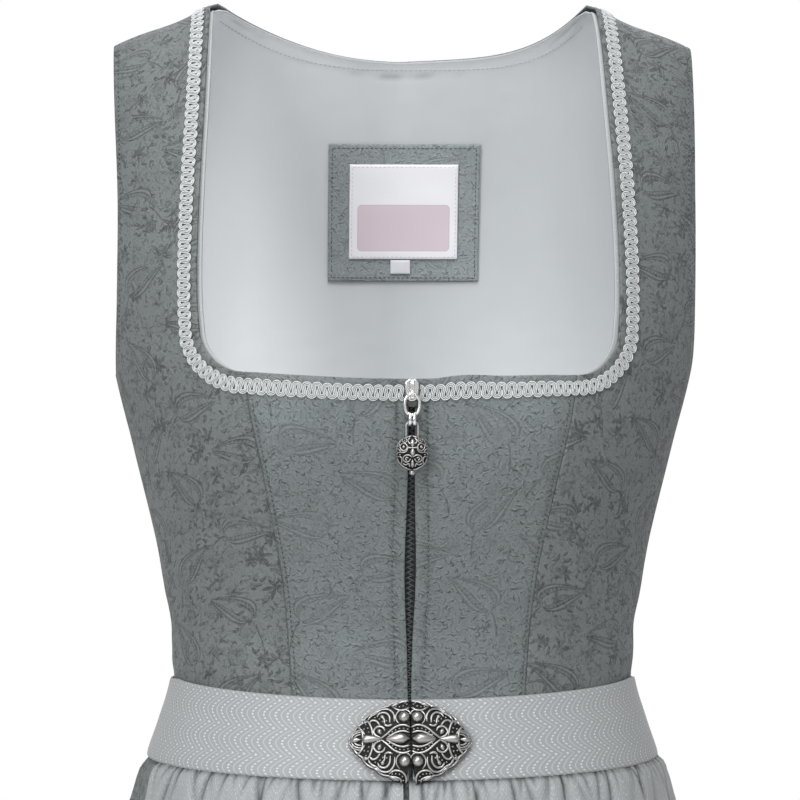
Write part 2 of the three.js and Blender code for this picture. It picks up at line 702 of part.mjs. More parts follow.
// A geometry as a closed solid, for joining and cutting.
function solidOf(geometry) {
  const flat = geometry.index ? geometry.toNonIndexed() : geometry;
  const position = flat.getAttribute("position");
  const keys = new Map();
  const vertices = [];
  const triangles = [];
  const vertexOf = (i) => {
    const p = [position.getX(i), position.getY(i), position.getZ(i)];
    const key = p.map((v) => Math.round(v * 1e4)).join();
    if (!keys.has(key)) {
      keys.set(key, vertices.length / 3);
      vertices.push(...p);
    }
    return keys.get(key);
  };
  for (let i = 0; i < position.count; i += 3) {
    const triangle = [vertexOf(i), vertexOf(i + 1), vertexOf(i + 2)];
    if (new Set(triangle).size === 3) triangles.push(...triangle);
  }
  const mesh = new wasm.Mesh({
    numProp: 3,
    vertProperties: new Float32Array(vertices),
    triVerts: new Uint32Array(triangles),
  });
  return new wasm.Manifold(mesh);
}

// A closed solid back as a geometry.
function geometryFrom(solid) {
  const mesh = solid.getMesh();
  const points = [];
  for (let i = 0; i < mesh.vertProperties.length; i += mesh.numProp) {
    points.push(new THREE.Vector3(...mesh.vertProperties.slice(i, i + 3)));
  }
  const triangles = [];
  for (let i = 0; i < mesh.triVerts.length; i += 3) triangles.push([...mesh.triVerts.slice(i, i + 3)]);
  return geometryOf(points, triangles);
}

function joined(geometries) {
  return geometryFrom(geometries.map(solidOf).reduce((all, next) => all.add(next)));
}

const boxAt = (size, centre) => new THREE.BoxGeometry(...size).translate(...centre);

// The hinge of the link lies under the slider's bridge, and the hinge of the charm
// at the link's lower eye. Both run along X.
const SLIDER_FACE = frontFace(SLIDER.z) + 0.5;
const LINK_PIVOT = { y: -(SLIDER_FACE + SLIDER.thick + BRIDGE.space / 2), z: SLIDER.z - 2.2 };
const EYE_CENTRE = { y: LINK_PIVOT.y, z: LINK_PIVOT.z - EYE.drop };
const CHARM_PIVOT = { y: EYE_CENTRE.y, z: EYE_CENTRE.z - EYE.halfTall + EYE.thick + 0.85 };

function zipSlider() {
  const plate = SLIDER_FACE + SLIDER.thick;
  const rise = BRIDGE.space + BRIDGE.thick;
  const ends = SLIDER.tall / 2 - 1.35;
  const bodyY = -(SLIDER_FACE + SLIDER.thick / 2);
  const body = boxAt([SLIDER.width, SLIDER.thick, SLIDER.tall], [0, bodyY, SLIDER.z]);
  const foot = boxAt([1.8, 2, SLIDER.tall * 0.7], [0, -(SLIDER_FACE - 0.6), SLIDER.z]);
  const leg = (z) => boxAt([BRIDGE.width, rise + 0.3, BRIDGE.leg], [0, -(plate + rise / 2 - 0.15), z]);
  const barY = -(plate + BRIDGE.space + BRIDGE.thick / 2);
  const bar = boxAt([BRIDGE.width, BRIDGE.thick, 2 * ends + BRIDGE.leg], [0, barY, SLIDER.z]);
  return joined([body, foot, leg(SLIDER.z + ends), leg(SLIDER.z - ends), bar]);
}

// A ring of round wire in a plane across Y, from its top at the hinge down.
function frontRing(y, top, half, tall, thickness) {
  const points = [];
  const count = 14;
  for (let i = 0; i < count; i++) {
    const angle = (i / count) * 2 * Math.PI;
    points.push(new THREE.Vector3(half * Math.sin(angle), y, top - (tall / 2) * (1 - Math.cos(angle))));
  }
  return wire(points, thickness, true, 28, 6);
}

// A flat ring in a plane across X, which the charm's bail runs through.
function sideRing(centre, halfDeep, halfTall, thickness, width) {
  const outline = new THREE.Shape().absellipse(0, 0, halfDeep, halfTall, 0, 2 * Math.PI);
  outline.holes.push(
    new THREE.Path().absellipse(0, 0, halfDeep - thickness, halfTall - thickness, 0, 2 * Math.PI),
  );
  return new THREE.ExtrudeGeometry(outline, { depth: width, bevelEnabled: false, curveSegments: 16 })
    .translate(0, 0, -width / 2)
    .rotateY(Math.PI / 2)
    .rotateX(Math.PI / 2)
    .translate(0, centre.y, centre.z);
}

function pullLink() {
  const ring = frontRing(LINK_PIVOT.y, LINK_PIVOT.z, LINK.half, LINK.tall, LINK.wire);
  const eye = sideRing(EYE_CENTRE, EYE.halfDeep, EYE.halfTall, EYE.thick, EYE.wide);
  return joined([ring, eye]);
}

// The charm's bail runs through the link's eye, over its lowest point.
function charmSolid() {
  const { y, z } = CHARM_PIVOT;
  const bail = [
    [-CHARM.bailHalf, -CHARM.bailDrop],
    [-CHARM.bailHalf, -1.6],
    [-CHARM.bailHalf * 0.72, -0.25],
    [0, 0],
    [CHARM.bailHalf * 0.72, -0.25],
    [CHARM.bailHalf, -1.6],
    [CHARM.bailHalf, -CHARM.bailDrop],
  ];
  const points = bail.map(([x, dz]) => new THREE.Vector3(x, y, z + dz));
  const loop = wire(points, CHARM.wire, false, 18, 6);
  const profile = [];
  const rings = 8;
  for (let i = 0; i <= rings; i++) {
    const angle = -Math.PI / 2 + (i / rings) * Math.PI;
    profile.push(new THREE.Vector2(i === 0 || i === rings ? 0 : Math.cos(angle), Math.sin(angle)));
  }
  const centre = z - CHARM.bailDrop - CHARM.tall + 0.8;
  const ball = new THREE.LatheGeometry(profile, 16)
    .rotateX(Math.PI / 2)
    .scale(CHARM.half, CHARM.deep, CHARM.tall)
    .translate(0, y, centre);
  const bead = new THREE.SphereGeometry(CHARM.bead, 8, 6).translate(0, y, centre - CHARM.tall - 0.7);
  return joined([loop, ball, bead]);
}

// The labels inside the back: a patch of the dress cloth, a woven label on it and a
// small tag under the label. offset is how far the face away from the lining stands.
const LABEL_CLOTH = 1;
const LABELS = {
  label_patch: { x: 4, width: 83, top: -65.2, bottom: -139.4, offset: -5, columns: 6, rows: 5 },
  label_woven: { x: 4, width: 60, top: -75.5, bottom: -127, offset: -6.5, columns: 4, rows: 4 },
  label_tag: { x: 2.5, width: 11, top: -127.6, bottom: -135.2, offset: -6.5, columns: 1, rows: 1 },
};

// The climb at which the figure reaches a true height, x from the centre line.
const climbTo = (x, z) => Math.asin((z - ARMPIT_Z) / (ridgeZ(x) - ARMPIT_Z));

function labelPiece(label) {
  const inner = [];
  const outer = [];
  for (let r = 0; r <= label.rows; r++) {
    const innerRow = [];
    const outerRow = [];
    for (let c = 0; c <= label.columns; c++) {
      const x = label.x + label.width * (c / label.columns - 0.5);
      const level = { z: ARMPIT_Z, climb: climbTo(x, mix(label.bottom, label.top, r / label.rows)) };
      const turn = Math.abs(x) < 1e-6 ? Math.PI : turnAt(x, heightOf(level), true);
      innerRow.push(offFigure(turn, level, label.offset));
      outerRow.push(offFigure(turn, level, label.offset + LABEL_CLOTH));
    }
    inner.push(innerRow);
    outer.push(outerRow);
  }
  return wall(inner, outer);
}

// Materials, one for each finish on the dress.
const finish = (color, roughness, metalness = 0) =>
  new THREE.MeshStandardMaterial({ color, roughness, metalness, side: THREE.FrontSide });
const JACQUARD = finish(0x5e6869, 0.75);
const LINING_CLOTH = finish(0xbfc4c6, 0.8);
const APRON_SATIN = finish(0xb2b7b9, 0.55);
const BRAID = finish(0xd6dadb, 0.6);
const ZIP_BLACK = finish(0x23282b, 0.6);
const SILVER = finish(0xd8d8d6, 0.3, 1);
const OLD_SILVER = finish(0x8f8d8a, 0.4, 1);
const WHITE_LABEL = finish(0xe9e8ee, 0.7);

const dirndl = new THREE.Group();
const add = (name, geometry, material) => {
  const mesh = new THREE.Mesh(geometry, material);
  mesh.name = name;
  dirndl.add(mesh);
};
const addPair = (name, geometry, material) => {
  add(name + "_left", geometry, material);
  add(name + "_right", mirrored(geometry), material);
};

const liningOut = -LINING_GAP;
const liningIn = -LINING_GAP - LINING;
const shellUpper = [...CORNER_ROWS, ...SIDE_TIP_ROWS, ...STRAP_ROWS];

addPair("front", frontPanel(0, SHELL, (z) => along(ZIP_SLIT, z, "x"), 5), JACQUARD);
addPair("side_front", sideFrontPanel(0, SHELL, shellUpper, 0, 6), JACQUARD);
addPair("side_back", sideBackPanel(0, SHELL, 5), JACQUARD);
const seamRows = LOWER_ROWS.length + CORNER_ROWS.length + SIDE_TIP_ROWS.length;
add("back", backPiece(0, SHELL, shellUpper, seamRows, centreBackSide, 0, 12), JACQUARD);

const liningZipSide = () => ZIP.tapeHalf + 1.5;
addPair("lining_front", frontPanel(liningIn, liningOut, liningZipSide, 3), LINING_CLOTH);
addPair(
  "lining_side_front",
  sideFrontPanel(liningIn, liningOut, LINING_UPPER_ROWS, LINING_SHOWS, 4),
  LINING_CLOTH,
);
const liningFixed = LOWER_ROWS.length + 4;
add(
  "lining_back",
  backPiece(liningIn, liningOut, LINING_UPPER_ROWS, liningFixed, liningBackSide, 0, 12),
  LINING_CLOTH,
);
add("label_patch", labelPiece(LABELS.label_patch), JACQUARD);
add("label_woven", labelPiece(LABELS.label_woven), WHITE_LABEL);
add("label_tag", labelPiece(LABELS.label_tag), WHITE_LABEL);

addPair("neck_braid", braidStrip(), BRAID);
add("zip", zipTape(), ZIP_BLACK);
add("zip_slider", zipSlider(), SILVER);
add("pull_link", pullLink(), SILVER);
add("pull_charm", charmSolid(), OLD_SILVER);

const quarter = SKIRT_COLUMNS / 4;
add("skirt_front", skirtHalf(-quarter, quarter), JACQUARD);
add("skirt_back", skirtHalf(quarter, 3 * quarter), JACQUARD);
add("apron_band", apronBand(), APRON_SATIN);
add("apron_left", apronHalf(APRON_LEFT), APRON_SATIN);
add("apron_right", apronHalf(APRON_RIGHT), APRON_SATIN);
addPair("clasp", claspHalf(), OLD_SILVER);

export default dirndl;
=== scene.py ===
import math

import bpy
import numpy as np
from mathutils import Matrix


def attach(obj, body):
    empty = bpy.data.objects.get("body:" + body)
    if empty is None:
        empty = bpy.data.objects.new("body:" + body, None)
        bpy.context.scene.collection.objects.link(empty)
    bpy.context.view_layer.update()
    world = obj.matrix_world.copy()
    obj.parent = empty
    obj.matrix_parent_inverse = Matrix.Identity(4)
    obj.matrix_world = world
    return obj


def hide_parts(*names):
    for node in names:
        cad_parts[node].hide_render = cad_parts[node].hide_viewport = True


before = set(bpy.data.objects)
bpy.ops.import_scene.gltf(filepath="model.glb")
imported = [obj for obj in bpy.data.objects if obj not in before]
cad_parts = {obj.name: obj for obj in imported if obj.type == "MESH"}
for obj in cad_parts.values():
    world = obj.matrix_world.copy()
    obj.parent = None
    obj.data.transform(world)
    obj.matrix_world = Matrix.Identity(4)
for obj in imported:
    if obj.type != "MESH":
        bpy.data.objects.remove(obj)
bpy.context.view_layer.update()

MM = 0.001
TURN = 2 * np.pi

# Heights, from the shoulder seams down, and the cloths' places, as in the model.
ARMPIT = -191.0
NECK_BOTTOM = -191.2
WAIST = -370.0
HEM = -968.0
SHELL = 1.2
LINING_IN = -3.0
LINING_OUT = -2.0
LINING_SHOWS = 1.1
SKIRT_CLOTH = 1.2
SEAM_HALF = 0.02
STRAP_NECK_X = 99.6
STRAP_ARM_X = 149.5


def table(columns, *rows):
    """A short table with named columns, sorted by its first one, the height."""
    ordered = sorted(rows)
    names = columns.split()
    return {name: np.array([row[i] for row in ordered], float) for i, name in enumerate(names)}


FIGURE = table(
    "z half front back power",
    (-968, 318, 292, 292, 2.0),
    (-760, 256, 230, 229, 2.0),
    (-600, 204, 178, 177, 2.05),
    (-480, 160, 134, 133, 2.1),
    (-430, 141, 114, 112, 2.15),
    (-412, 135.2, 107.5, 105.5, 2.2),
    (-395, 131.2, 103, 101, 2.25),
    (-387, 128.8, 100.5, 98.5, 2.25),
    (-370, 123, 94.5, 92.5, 2.3),
    (-350, 117.3, 88.3, 85.6, 2.3),
    (-338, 118.4, 88.6, 85.5, 2.3),
    (-320, 118.8, 89.5, 86, 2.3),
    (-304, 122, 93.5, 88.5, 2.3),
    (-275, 127, 101, 92, 2.3),
    (-228, 138.5, 113, 99, 2.3),
    (-191, 147.8, 116, 103, 2.3),
    (-150, 154, 108, 104, 2.3),
    (-100, 156, 101, 101, 2.3),
    (-50, 156.5, 96, 96, 2.3),
    (0, 156.5, 93, 92, 2.3),
)
BUST = {"x": 70, "z": -228, "spread": 42, "rise": 48, "depth": 12}
PRINCESS_SEAM = table(
    "z x", (-370, 57), (-350, 58), (-299, 62), (-269, 67), (-238, 73), (-213, 78.5), (-191, 81.4)
)
BACK_SEAM = table(
    "z x",
    *[(-370, 44), (-330, 46), (-275, 54), (-228, 68)],
    *[(-191, 83), (-158, 101), (-130, 121), (-104, 145.5)],
)
BACK_SEAM_TOP = -106.0
BACK_EDGE_TOP = -108.0
LINING_EDGE_TOP = -170.2
ARMHOLE = table(
    "z x", (-191, 147.6), (-175, 147.4), (-150, 147), (-101, 146.8), (-50, 148.2), (0, STRAP_ARM_X)
)
NECK_SIDE = table(
    "z x", (-168.6, 104), (-156, 105), (-131, 105.2), (-90, 103.8), (-56, 102), (0, STRAP_NECK_X)
)
CORNER = {"x": 81.4, "z": -168.6, "radius": 22.6}
NECK_DIP = 3.4
BACK_NECK_DROP = 24.9
BACK_NECK_POWERS = {"right": 2.6, "left": 5.0}
ZIP_SLIT = table("z x", (-370, 0.5), (-330, 1.3), (-290, 2.8), (-250, 1.9), (-191, 1.5))
SHOULDER_SLOPE = 0.45
NECK_RIDGE_SLOPE = 0.25
SHOULDER_SAG = {"deep": 2.6, "past": 15.0, "width": 18.0}


def along(rows, z, column):
    """A smooth curve through a table's rows, for one of its columns."""
    heights, values = rows["z"], rows[column]
    count = len(heights)
    before = np.maximum(np.arange(count) - 1, 0)
    after = np.minimum(np.arange(count) + 1, count - 1)
    slopes = (values[after] - values[before]) / (heights[after] - heights[before])
    z = np.clip(z, heights[0], heights[-1])
    i = np.clip(np.searchsorted(heights, z) - 1, 0, count - 2)
    span = heights[i + 1] - heights[i]
    t = (z - heights[i]) / span
    return (
        values[i] * (1 + 2 * t) * (1 - t) ** 2
        + slopes[i] * span * t * (1 - t) ** 2
        + values[i + 1] * t * t * (3 - 2 * t)
        + slopes[i + 1] * span * t * t * (t - 1)
    )


def mix(a, b, t):
    return a + (b - a) * t


def unit(vectors):
    """The vectors at length 1."""
    return vectors / (np.linalg.norm(vectors, axis=-1, keepdims=True) + 1e-12)


def run_along(path):
    """The length from a path's start to each of its points."""
    step = np.linalg.norm(np.diff(path, axis=0), axis=-1)
    return np.concatenate([[0], np.cumsum(step)])


def smooth_step(a, b, c, d, t):
    """A share t of the way from b to c on a smooth line through four values."""
    return 0.5 * (2 * b + (c - a) * t + (2 * a - 5 * b + 4 * c - d) * t**2 + (3 * b - a - 3 * c + d) * t**3)


def bump_at(distance, centre, width):
    """A soft bump of height 1 at a distance from an edge."""
    return np.exp(-(((distance - centre) / width) ** 2))


# A level is a height up to the armpit. Above it the sections close over the shoulder
# like a dome, and the level goes on as the length of that dome's arc.
TOP_LEVEL = ARMPIT - ARMPIT * (np.pi / 2 - 0.003)


def height_of(level):
    climb = np.clip((level - ARMPIT) / -ARMPIT, 0, np.pi / 2)
    return np.where(level > ARMPIT, ARMPIT * (1 - np.sin(climb)), level)


def level_of(z):
    z = np.asarray(z, float)
    climb = np.arcsin(np.clip((z - ARMPIT) / -ARMPIT, 0, 1))
    return np.where(z > ARMPIT, ARMPIT - ARMPIT * climb, z)


def ridge_z(x):
    past = np.abs(x) - STRAP_NECK_X
    sag = SHOULDER_SAG["deep"] * bump_at(np.maximum(0, past), SHOULDER_SAG["past"], SHOULDER_SAG["width"])
    return np.where(past > 0, -past * SHOULDER_SLOPE, -past * NECK_RIDGE_SLOPE) - sag


def figure(turn, level):
    """Points of the general figure inside the cloth. turn is 0 at the front and a right
    angle at the wearer's left."""
    turn, level = np.broadcast_arrays(np.asarray(turn, float), np.asarray(level, float))
    climb = np.clip((level - ARMPIT) / -ARMPIT, 0, np.pi / 2)
    z = height_of(level)
    half = along(FIGURE, z, "half")
    depth = np.where(np.cos(turn) >= 0, along(FIGURE, z, "front"), along(FIGURE, z, "back"))
    power = along(FIGURE, z, "power")
    s = np.abs(np.sin(turn)) / half
    c = np.abs(np.cos(turn)) / depth
    radius = (s**power + c**power) ** (-1 / power)
    x = radius * np.sin(turn)
    y = -radius * np.cos(turn)
    across = (np.abs(x) - BUST["x"]) / BUST["spread"]
    up = (z - BUST["z"]) / BUST["rise"]
    y = y - BUST["depth"] * np.exp(-across * across - up * up) * np.clip(-y / 20, 0, 1)
    height = np.where(climb > 0, mix(ARMPIT, ridge_z(x), np.sin(climb)), z)
    return np.stack([x, y * np.cos(climb), height], -1)


def outward(turn, level):
    """The direction straight out of the figure's surface."""
    turn_step, level_step = 0.004, 0.5
    around = figure(turn + turn_step, level) - figure(turn - turn_step, level)
    up = figure(turn, level + level_step) - figure(turn, level - level_step)
    return unit(np.cross(around, up))


def off_figure(turn, level, distance):
    """Points at a distance outside the figure, or inside it if that is negative."""
    turn, level, distance = np.broadcast_arrays(turn, level, distance)
    return figure(turn, level) + outward(turn, level) * distance[..., None]


def turn_at(x, z, behind=False):
    """The turn at which the figure is x from the centre line, in front or behind."""
    half = along(FIGURE, z, "half")
    depth = along(FIGURE, z, "back" if behind else "front")
    power = along(FIGURE, z, "power")
    share = np.minimum(1, np.abs(x) / half)
    y = depth * (1 - share**power) ** (1 / power)
    turn = np.arctan2(np.abs(x), -y if behind else y)
    return np.where(np.asarray(x) < 0, -turn, turn)


def nudge(turn, level, distance):
    """A turn moved round the body by a distance along the cloth."""
    step = 0.002
    length = np.linalg.norm(figure(turn + step, level) - figure(turn - step, level), axis=-1)
    return turn + distance * 2 * step / length


def neck_x(z):
    down = np.maximum(0, CORNER["z"] - z)
    corner = CORNER["x"] + np.sqrt(np.maximum(0, CORNER["radius"] ** 2 - down * down))
    return np.where(z >= CORNER["z"], along(NECK_SIDE, z, "x"), corner)


def back_neck_z(x):
    power = np.where(np.asarray(x) > 0, BACK_NECK_POWERS["left"], BACK_NECK_POWERS["right"])
    return -BACK_NECK_DROP * (1 - np.minimum(1, np.abs(x) / STRAP_NECK_X) ** power) + 0.6


def front_neck_z(x):
    return NECK_BOTTOM - NECK_DIP * (1 - np.minimum(1, np.abs(x) / CORNER["x"]) ** 2)


def uneven(n, seed):
    """An uneven share between 0 and 1 for the thing with this number."""
    return 0.5 + 0.32 * np.sin(n * 2.4 + seed) + 0.18 * np.sin(n * 5.1 + 2 * seed)


def ripples(a, b, size, seed):
    """Soft uneven hills and hollows between -1 and 1, about size apart."""
    total = 0
    for k in range(5):
        angle = 1.3 * k + seed
        wave = TURN / size * (0.7 + 0.17 * k)
        total = total + np.sin(wave * (a * math.cos(angle) + b * math.sin(angle)) + 2.1 * k * k + 3 * seed)
    return total / 3.2


# Materials. A Field is a number in a material's nodes, so that formulas read plainly.


class Field:
    def __init__(self, tree, socket):
        self.tree = tree
        self.socket = socket

    def math(self, kind, *others, clamp=False):
        node = self.tree.nodes.new("ShaderNodeMath")
        node.operation = kind
        node.use_clamp = clamp
        for slot, value in zip(node.inputs, (self, *others)):
            put(self.tree, value, slot)
        return Field(self.tree, node.outputs[0])

    def __add__(self, other):
        return self.math("ADD", other)

    __radd__ = __add__

    def __sub__(self, other):
        return self.math("SUBTRACT", other)

    def __rsub__(self, other):
        return (self * -1) + other

    def __mul__(self, other):
        return self.math("MULTIPLY", other)

    __rmul__ = __mul__

    def __truediv__(self, other):
        return self.math("DIVIDE", other)

    def __pow__(self, other):
        return self.math("POWER", other)

    def __abs__(self):
        return self.math("ABSOLUTE")

    def sin(self):
        return self.math("SINE")

    def cos(self):
        return self.math("COSINE")

    def root(self):
        return self.math("SQRT")

    def part(self):
        """The part after the decimal point."""
        return self.math("FRACT")

    def whole(self):
        return self.math("FLOOR")

    def smaller(self, other):
        return self.math("MINIMUM", other)

    def larger(self, other):
        return self.math("MAXIMUM", other)

    def clamped(self):
        """This, kept between 0 and 1."""
        return self.math("MULTIPLY", 1.0, clamp=True)

    def below(self, limit, soft):
        """1 where this is below the limit and 0 above it, with a soft edge."""
        return ((limit - self) / soft + 0.5).clamped()


def put(tree, value, slot):
    """A number, colour, vector or Field into a socket."""
    if isinstance(value, Field):
        tree.links.new(value.socket, slot)
    elif value is not None:
        slot.default_value = value


SOCKETS = {
    "colour": "Base Color",
    "roughness": "Roughness",
    "metallic": "Metallic",
    "sheen": "Sheen Weight",
    "sheen_roughness": "Sheen Roughness",
    "specular": "Specular IOR Level",
}


class Surface:
    """A material being made, with the nodes that most of them need."""

    def __init__(self, name):
        self.material = bpy.data.materials.new(name)
        self.material.use_nodes = True
        self.tree = self.material.node_tree
        self.shader = self.tree.nodes["Principled BSDF"]

    def node(self, kind, **settings):
        made = self.tree.nodes.new(kind)
        for key, value in settings.items():
            setattr(made, key, value)
        return made

    def field(self, socket):
        return Field(self.tree, socket)

    def mark(self, name):
        """The numbers that the mesh holds at its points under this name."""
        return self.field(self.node("ShaderNodeAttribute", attribute_name=name).outputs["Fac"])

    def cloth_place(self):
        """The place on the cloth in millimetres, across and up."""
        place = self.node("ShaderNodeUVMap", uv_map="cloth")
        across, up, _ = self.split(self.field(place.outputs[0]))
        return across * 1000, up * 1000

    def solid_place(self, scale):
        """The place in space, scaled."""
        place = self.node("ShaderNodeTexCoord")
        scaled = self.node("ShaderNodeVectorMath", operation="SCALE")
        self.tree.links.new(place.outputs["Object"], scaled.inputs[0])
        scaled.inputs["Scale"].default_value = scale
        return self.field(scaled.outputs[0])

    def vector(self, x, y, z=0.0):
        made = self.node("ShaderNodeCombineXYZ")
        for slot, value in zip(made.inputs, (x, y, z)):
            put(self.tree, value, slot)
        return self.field(made.outputs[0])

    def split(self, vector):
        made = self.node("ShaderNodeSeparateXYZ")
        put(self.tree, vector, made.inputs[0])
        return [self.field(out) for out in made.outputs]

    def noise(self, place, scale, detail=2.0, roughness=0.5):
        made = self.node("ShaderNodeTexNoise")
        values = {"Vector": place, "Scale": scale, "Detail": detail, "Roughness": roughness}
        for name, value in values.items():
            put(self.tree, value, made.inputs[name])
        return self.field(made.outputs["Fac"])

    def cells(self, x, y, size, randomness):
        """For scattered cells of a size: the place in the nearest cell, and its three
        random numbers."""
        made = self.node("ShaderNodeTexVoronoi", voronoi_dimensions="2D", feature="F1")
        put(self.tree, self.vector(x / size, y / size), made.inputs["Vector"])
        made.inputs["Scale"].default_value = 1.0
        made.inputs["Randomness"].default_value = randomness
        chance = self.split(self.field(made.outputs["Color"]))
        centre = self.split(self.field(made.outputs["Position"]))
        return x - centre[0] * size, y - centre[1] * size, chance

    def blend(self, low, high, share):
        """A colour between two."""
        made = self.node("ShaderNodeMix", data_type="RGBA")
        for slot, value in ((0, share), (6, low), (7, high)):
            put(self.tree, value, made.inputs[slot])
        return self.field(made.outputs[2])

    def finished(self, height, depth, strength, **looks):
        """The material, with a bump of a depth in metres and the shader's looks."""
        made = self.node("ShaderNodeBump")
        for name, value in (("Height", height), ("Distance", depth), ("Strength", strength)):
            put(self.tree, value, made.inputs[name])
        self.tree.links.new(made.outputs[0], self.shader.inputs["Normal"])
        for look, value in looks.items():
            put(self.tree, value, self.shader.inputs[SOCKETS[look]])
        return self.material


def grey(*screen):
    """A colour from screen values of 0 to 255."""
    linear = [(v / 255 / 12.92) if v < 10.3 else ((v / 255 + 0.055) / 1.055) ** 2.4 for v in screen]
    return (*linear, 1.0)


def rotated(x, y, angle):
    """A place turned by an angle, given as numbers or Fields."""
    c, s = angle.cos(), angle.sin()
    return x * c + y * s, y * c - x * s


def leaf(x, y, half_length, half_width, lit, painted_emboss):
    """1 inside a pointed leaf that lies along x, less along its midrib and below 0 close
    round it. By painted_emboss, its upper side takes painted light and its lower side
    painted shade, as if lit from above; lit is how far the leaf's side points up."""
    beside = abs(y) - (1 - (x / half_length) ** 2) * half_width
    edge = beside.below(0, 0.35)
    rim = beside.below(0.55, 0.4) - edge
    flat = 1 - abs(y).below(0.12, 0.2) * 0.55
    # The leaf's upper side is painted light and its lower side painted shade.
    sided = (y / half_width).larger(-1.0).smaller(1.0) * lit * -1.3
    return edge * (flat * (1 - painted_emboss) + (sided + 0.25) * painted_emboss) - rim * 0.22


def scattered_leaves(surface, x, y, cell, half_length, half_width, flow, painted_emboss):
    """Leaves of one size in scattered cells, at angles about those of a flow."""
    near_x, near_y, chance = surface.cells(x, y, cell, 0.85)
    angle = chance[0] * 1.9 + flow
    u, v = rotated(near_x, near_y, angle)
    size = 0.65 + chance[1] * 0.4
    bent = v + (u * u) * (chance[2] - 0.5) * (0.5 / half_length)
    return leaf(u, bent, size * half_length, size * half_width, angle.cos(), painted_emboss)


def flowers(surface, x, y, cell, radius):
    """Open flowers with five notched petals, outlined, and a ring round the middle."""
    near_x, near_y, chance = surface.cells(x, y, cell, 0.75)
    angle = near_y.math("ARCTAN2", near_x) + chance[0] * TURN
    away = (near_x * near_x + near_y * near_y).math("SQRT")
    petal = abs((angle * 2.5).cos())
    reach = (0.55 + 0.45 * petal ** 0.6) * radius * (0.7 + 0.35 * chance[1])
    inside = (away - reach).below(0, 0.4)
    line = abs(away - reach).below(0.28, 0.3)
    veins = ((angle * 15).sin()).below(-0.35, 0.6) * (away - reach * 0.85).below(0, 0.5)
    eye = abs(away - reach * 0.28).below(0.3, 0.3)
    return (line + veins * 0.55 + eye).smaller(1.0), inside


def sprigs(surface, x, y, cell, radius, petals):
    """Tufts of pointed leaves that spread from the middle of scattered cells, the
    leaves on one side of each tuft longer."""
    near_x, near_y, chance = surface.cells(x, y, cell, 0.85)
    swirl = near_y.math("ARCTAN2", near_x) + chance[0] * TURN
    away = (near_x * near_x + near_y * near_y).math("SQRT")
    turned = (swirl + away * (chance[2] - 0.5) * 0.16) * (petals / TURN)
    apart = abs(turned.part() - 0.5) * (TURN / petals)
    longer = 0.72 + 0.3 * (turned.whole() * (TURN / petals)).sin()
    reach = longer * radius * (0.8 + 0.4 * chance[1])
    share = (away / reach).smaller(0.999)
    width = share ** 0.8 * (1 - share) ** 0.75 * radius * 0.36
    beside = apart * away
    return (beside - width).below(0, 0.3) * (1 - beside.below(0.08, 0.16) * 0.5)


PAISLEY = {"cell_x": 35.0, "cell_y": 44.0, "below": 9.5, "above": 18.5, "width": 14.5, "bend": 0.017}


def paisleys(x, y):
    """Curved drops in a half-drop repeat: dark lines, a light line, the inside and core."""
    column = (x / PAISLEY["cell_x"]).whole()
    shifted = y / PAISLEY["cell_y"] + column * 0.5
    row = shifted.whole()
    u = ((x / PAISLEY["cell_x"]).part() - 0.5) * PAISLEY["cell_x"]
    v = (shifted.part() - 0.5) * PAISLEY["cell_y"]
    facing = ((column + row) * 0.5).part() * 4 - 1
    u, v = rotated(u, v, facing * 0.7 + (column * 1.7 + row * 2.3).sin() * 0.4)
    bent = u + facing * (PAISLEY["bend"] * (v + PAISLEY["below"]) ** 2.0 - 2.5)
    share = ((v + PAISLEY["below"]) / (PAISLEY["below"] + PAISLEY["above"])).larger(0.0001)
    share = share.smaller(0.9999)
    width = share ** 0.5 * (1 - share) ** 1.2 * 1.55 * PAISLEY["width"]
    ratio = abs(bent) / (width + 0.05)
    thin = width * 0.55 + 0.9
    outline = (abs(ratio - 1) * thin).below(0.34, 0.3)
    second = (abs(ratio - 0.7) * thin).below(0.27, 0.3)
    third = (abs(ratio - 0.42) * thin).below(0.25, 0.3)
    pale = (abs(ratio - 0.85) * thin).below(0.3, 0.3)
    beads = (abs(ratio - 0.58) * thin).below(0.3, 0.3) * (v * 3.1).sin().below(0, 0.8)
    dark = (outline + second + third * 0.8 + beads * 0.8).smaller(1.0)
    return dark, pale, ratio.below(1.08, 0.1), ratio.below(0.4, 0.08)


def vines(field, seed):
    """Long curving stems: the level lines of a smooth field."""
    return abs((field * 7 + seed).part() - 0.5).below(0.03, 0.04)


# The leaves' kinds in the jacquard: how far their cells are shifted and how large they
# are, half a leaf's length and width, and their angle to the flow.
LEAVES = {
    "long": {"shift": (0, 0), "cell": 7.0, "length": 3.6, "width": 1.15, "angle": 0},
    "short": {"shift": (31.7, 11.3), "cell": 4.9, "length": 2.5, "width": 0.72, "angle": 0.9},
    "stroke": {"shift": (-17.9, 47.1), "cell": 4.8, "length": 2.6, "width": 0.55, "angle": -0.6},
    "fine": {"shift": (53.3, -21.7), "cell": 3.6, "length": 1.9, "width": 0.45, "angle": 0.5},
}
JACQUARD_CREASE_SHADE = grey(34, 38, 39)


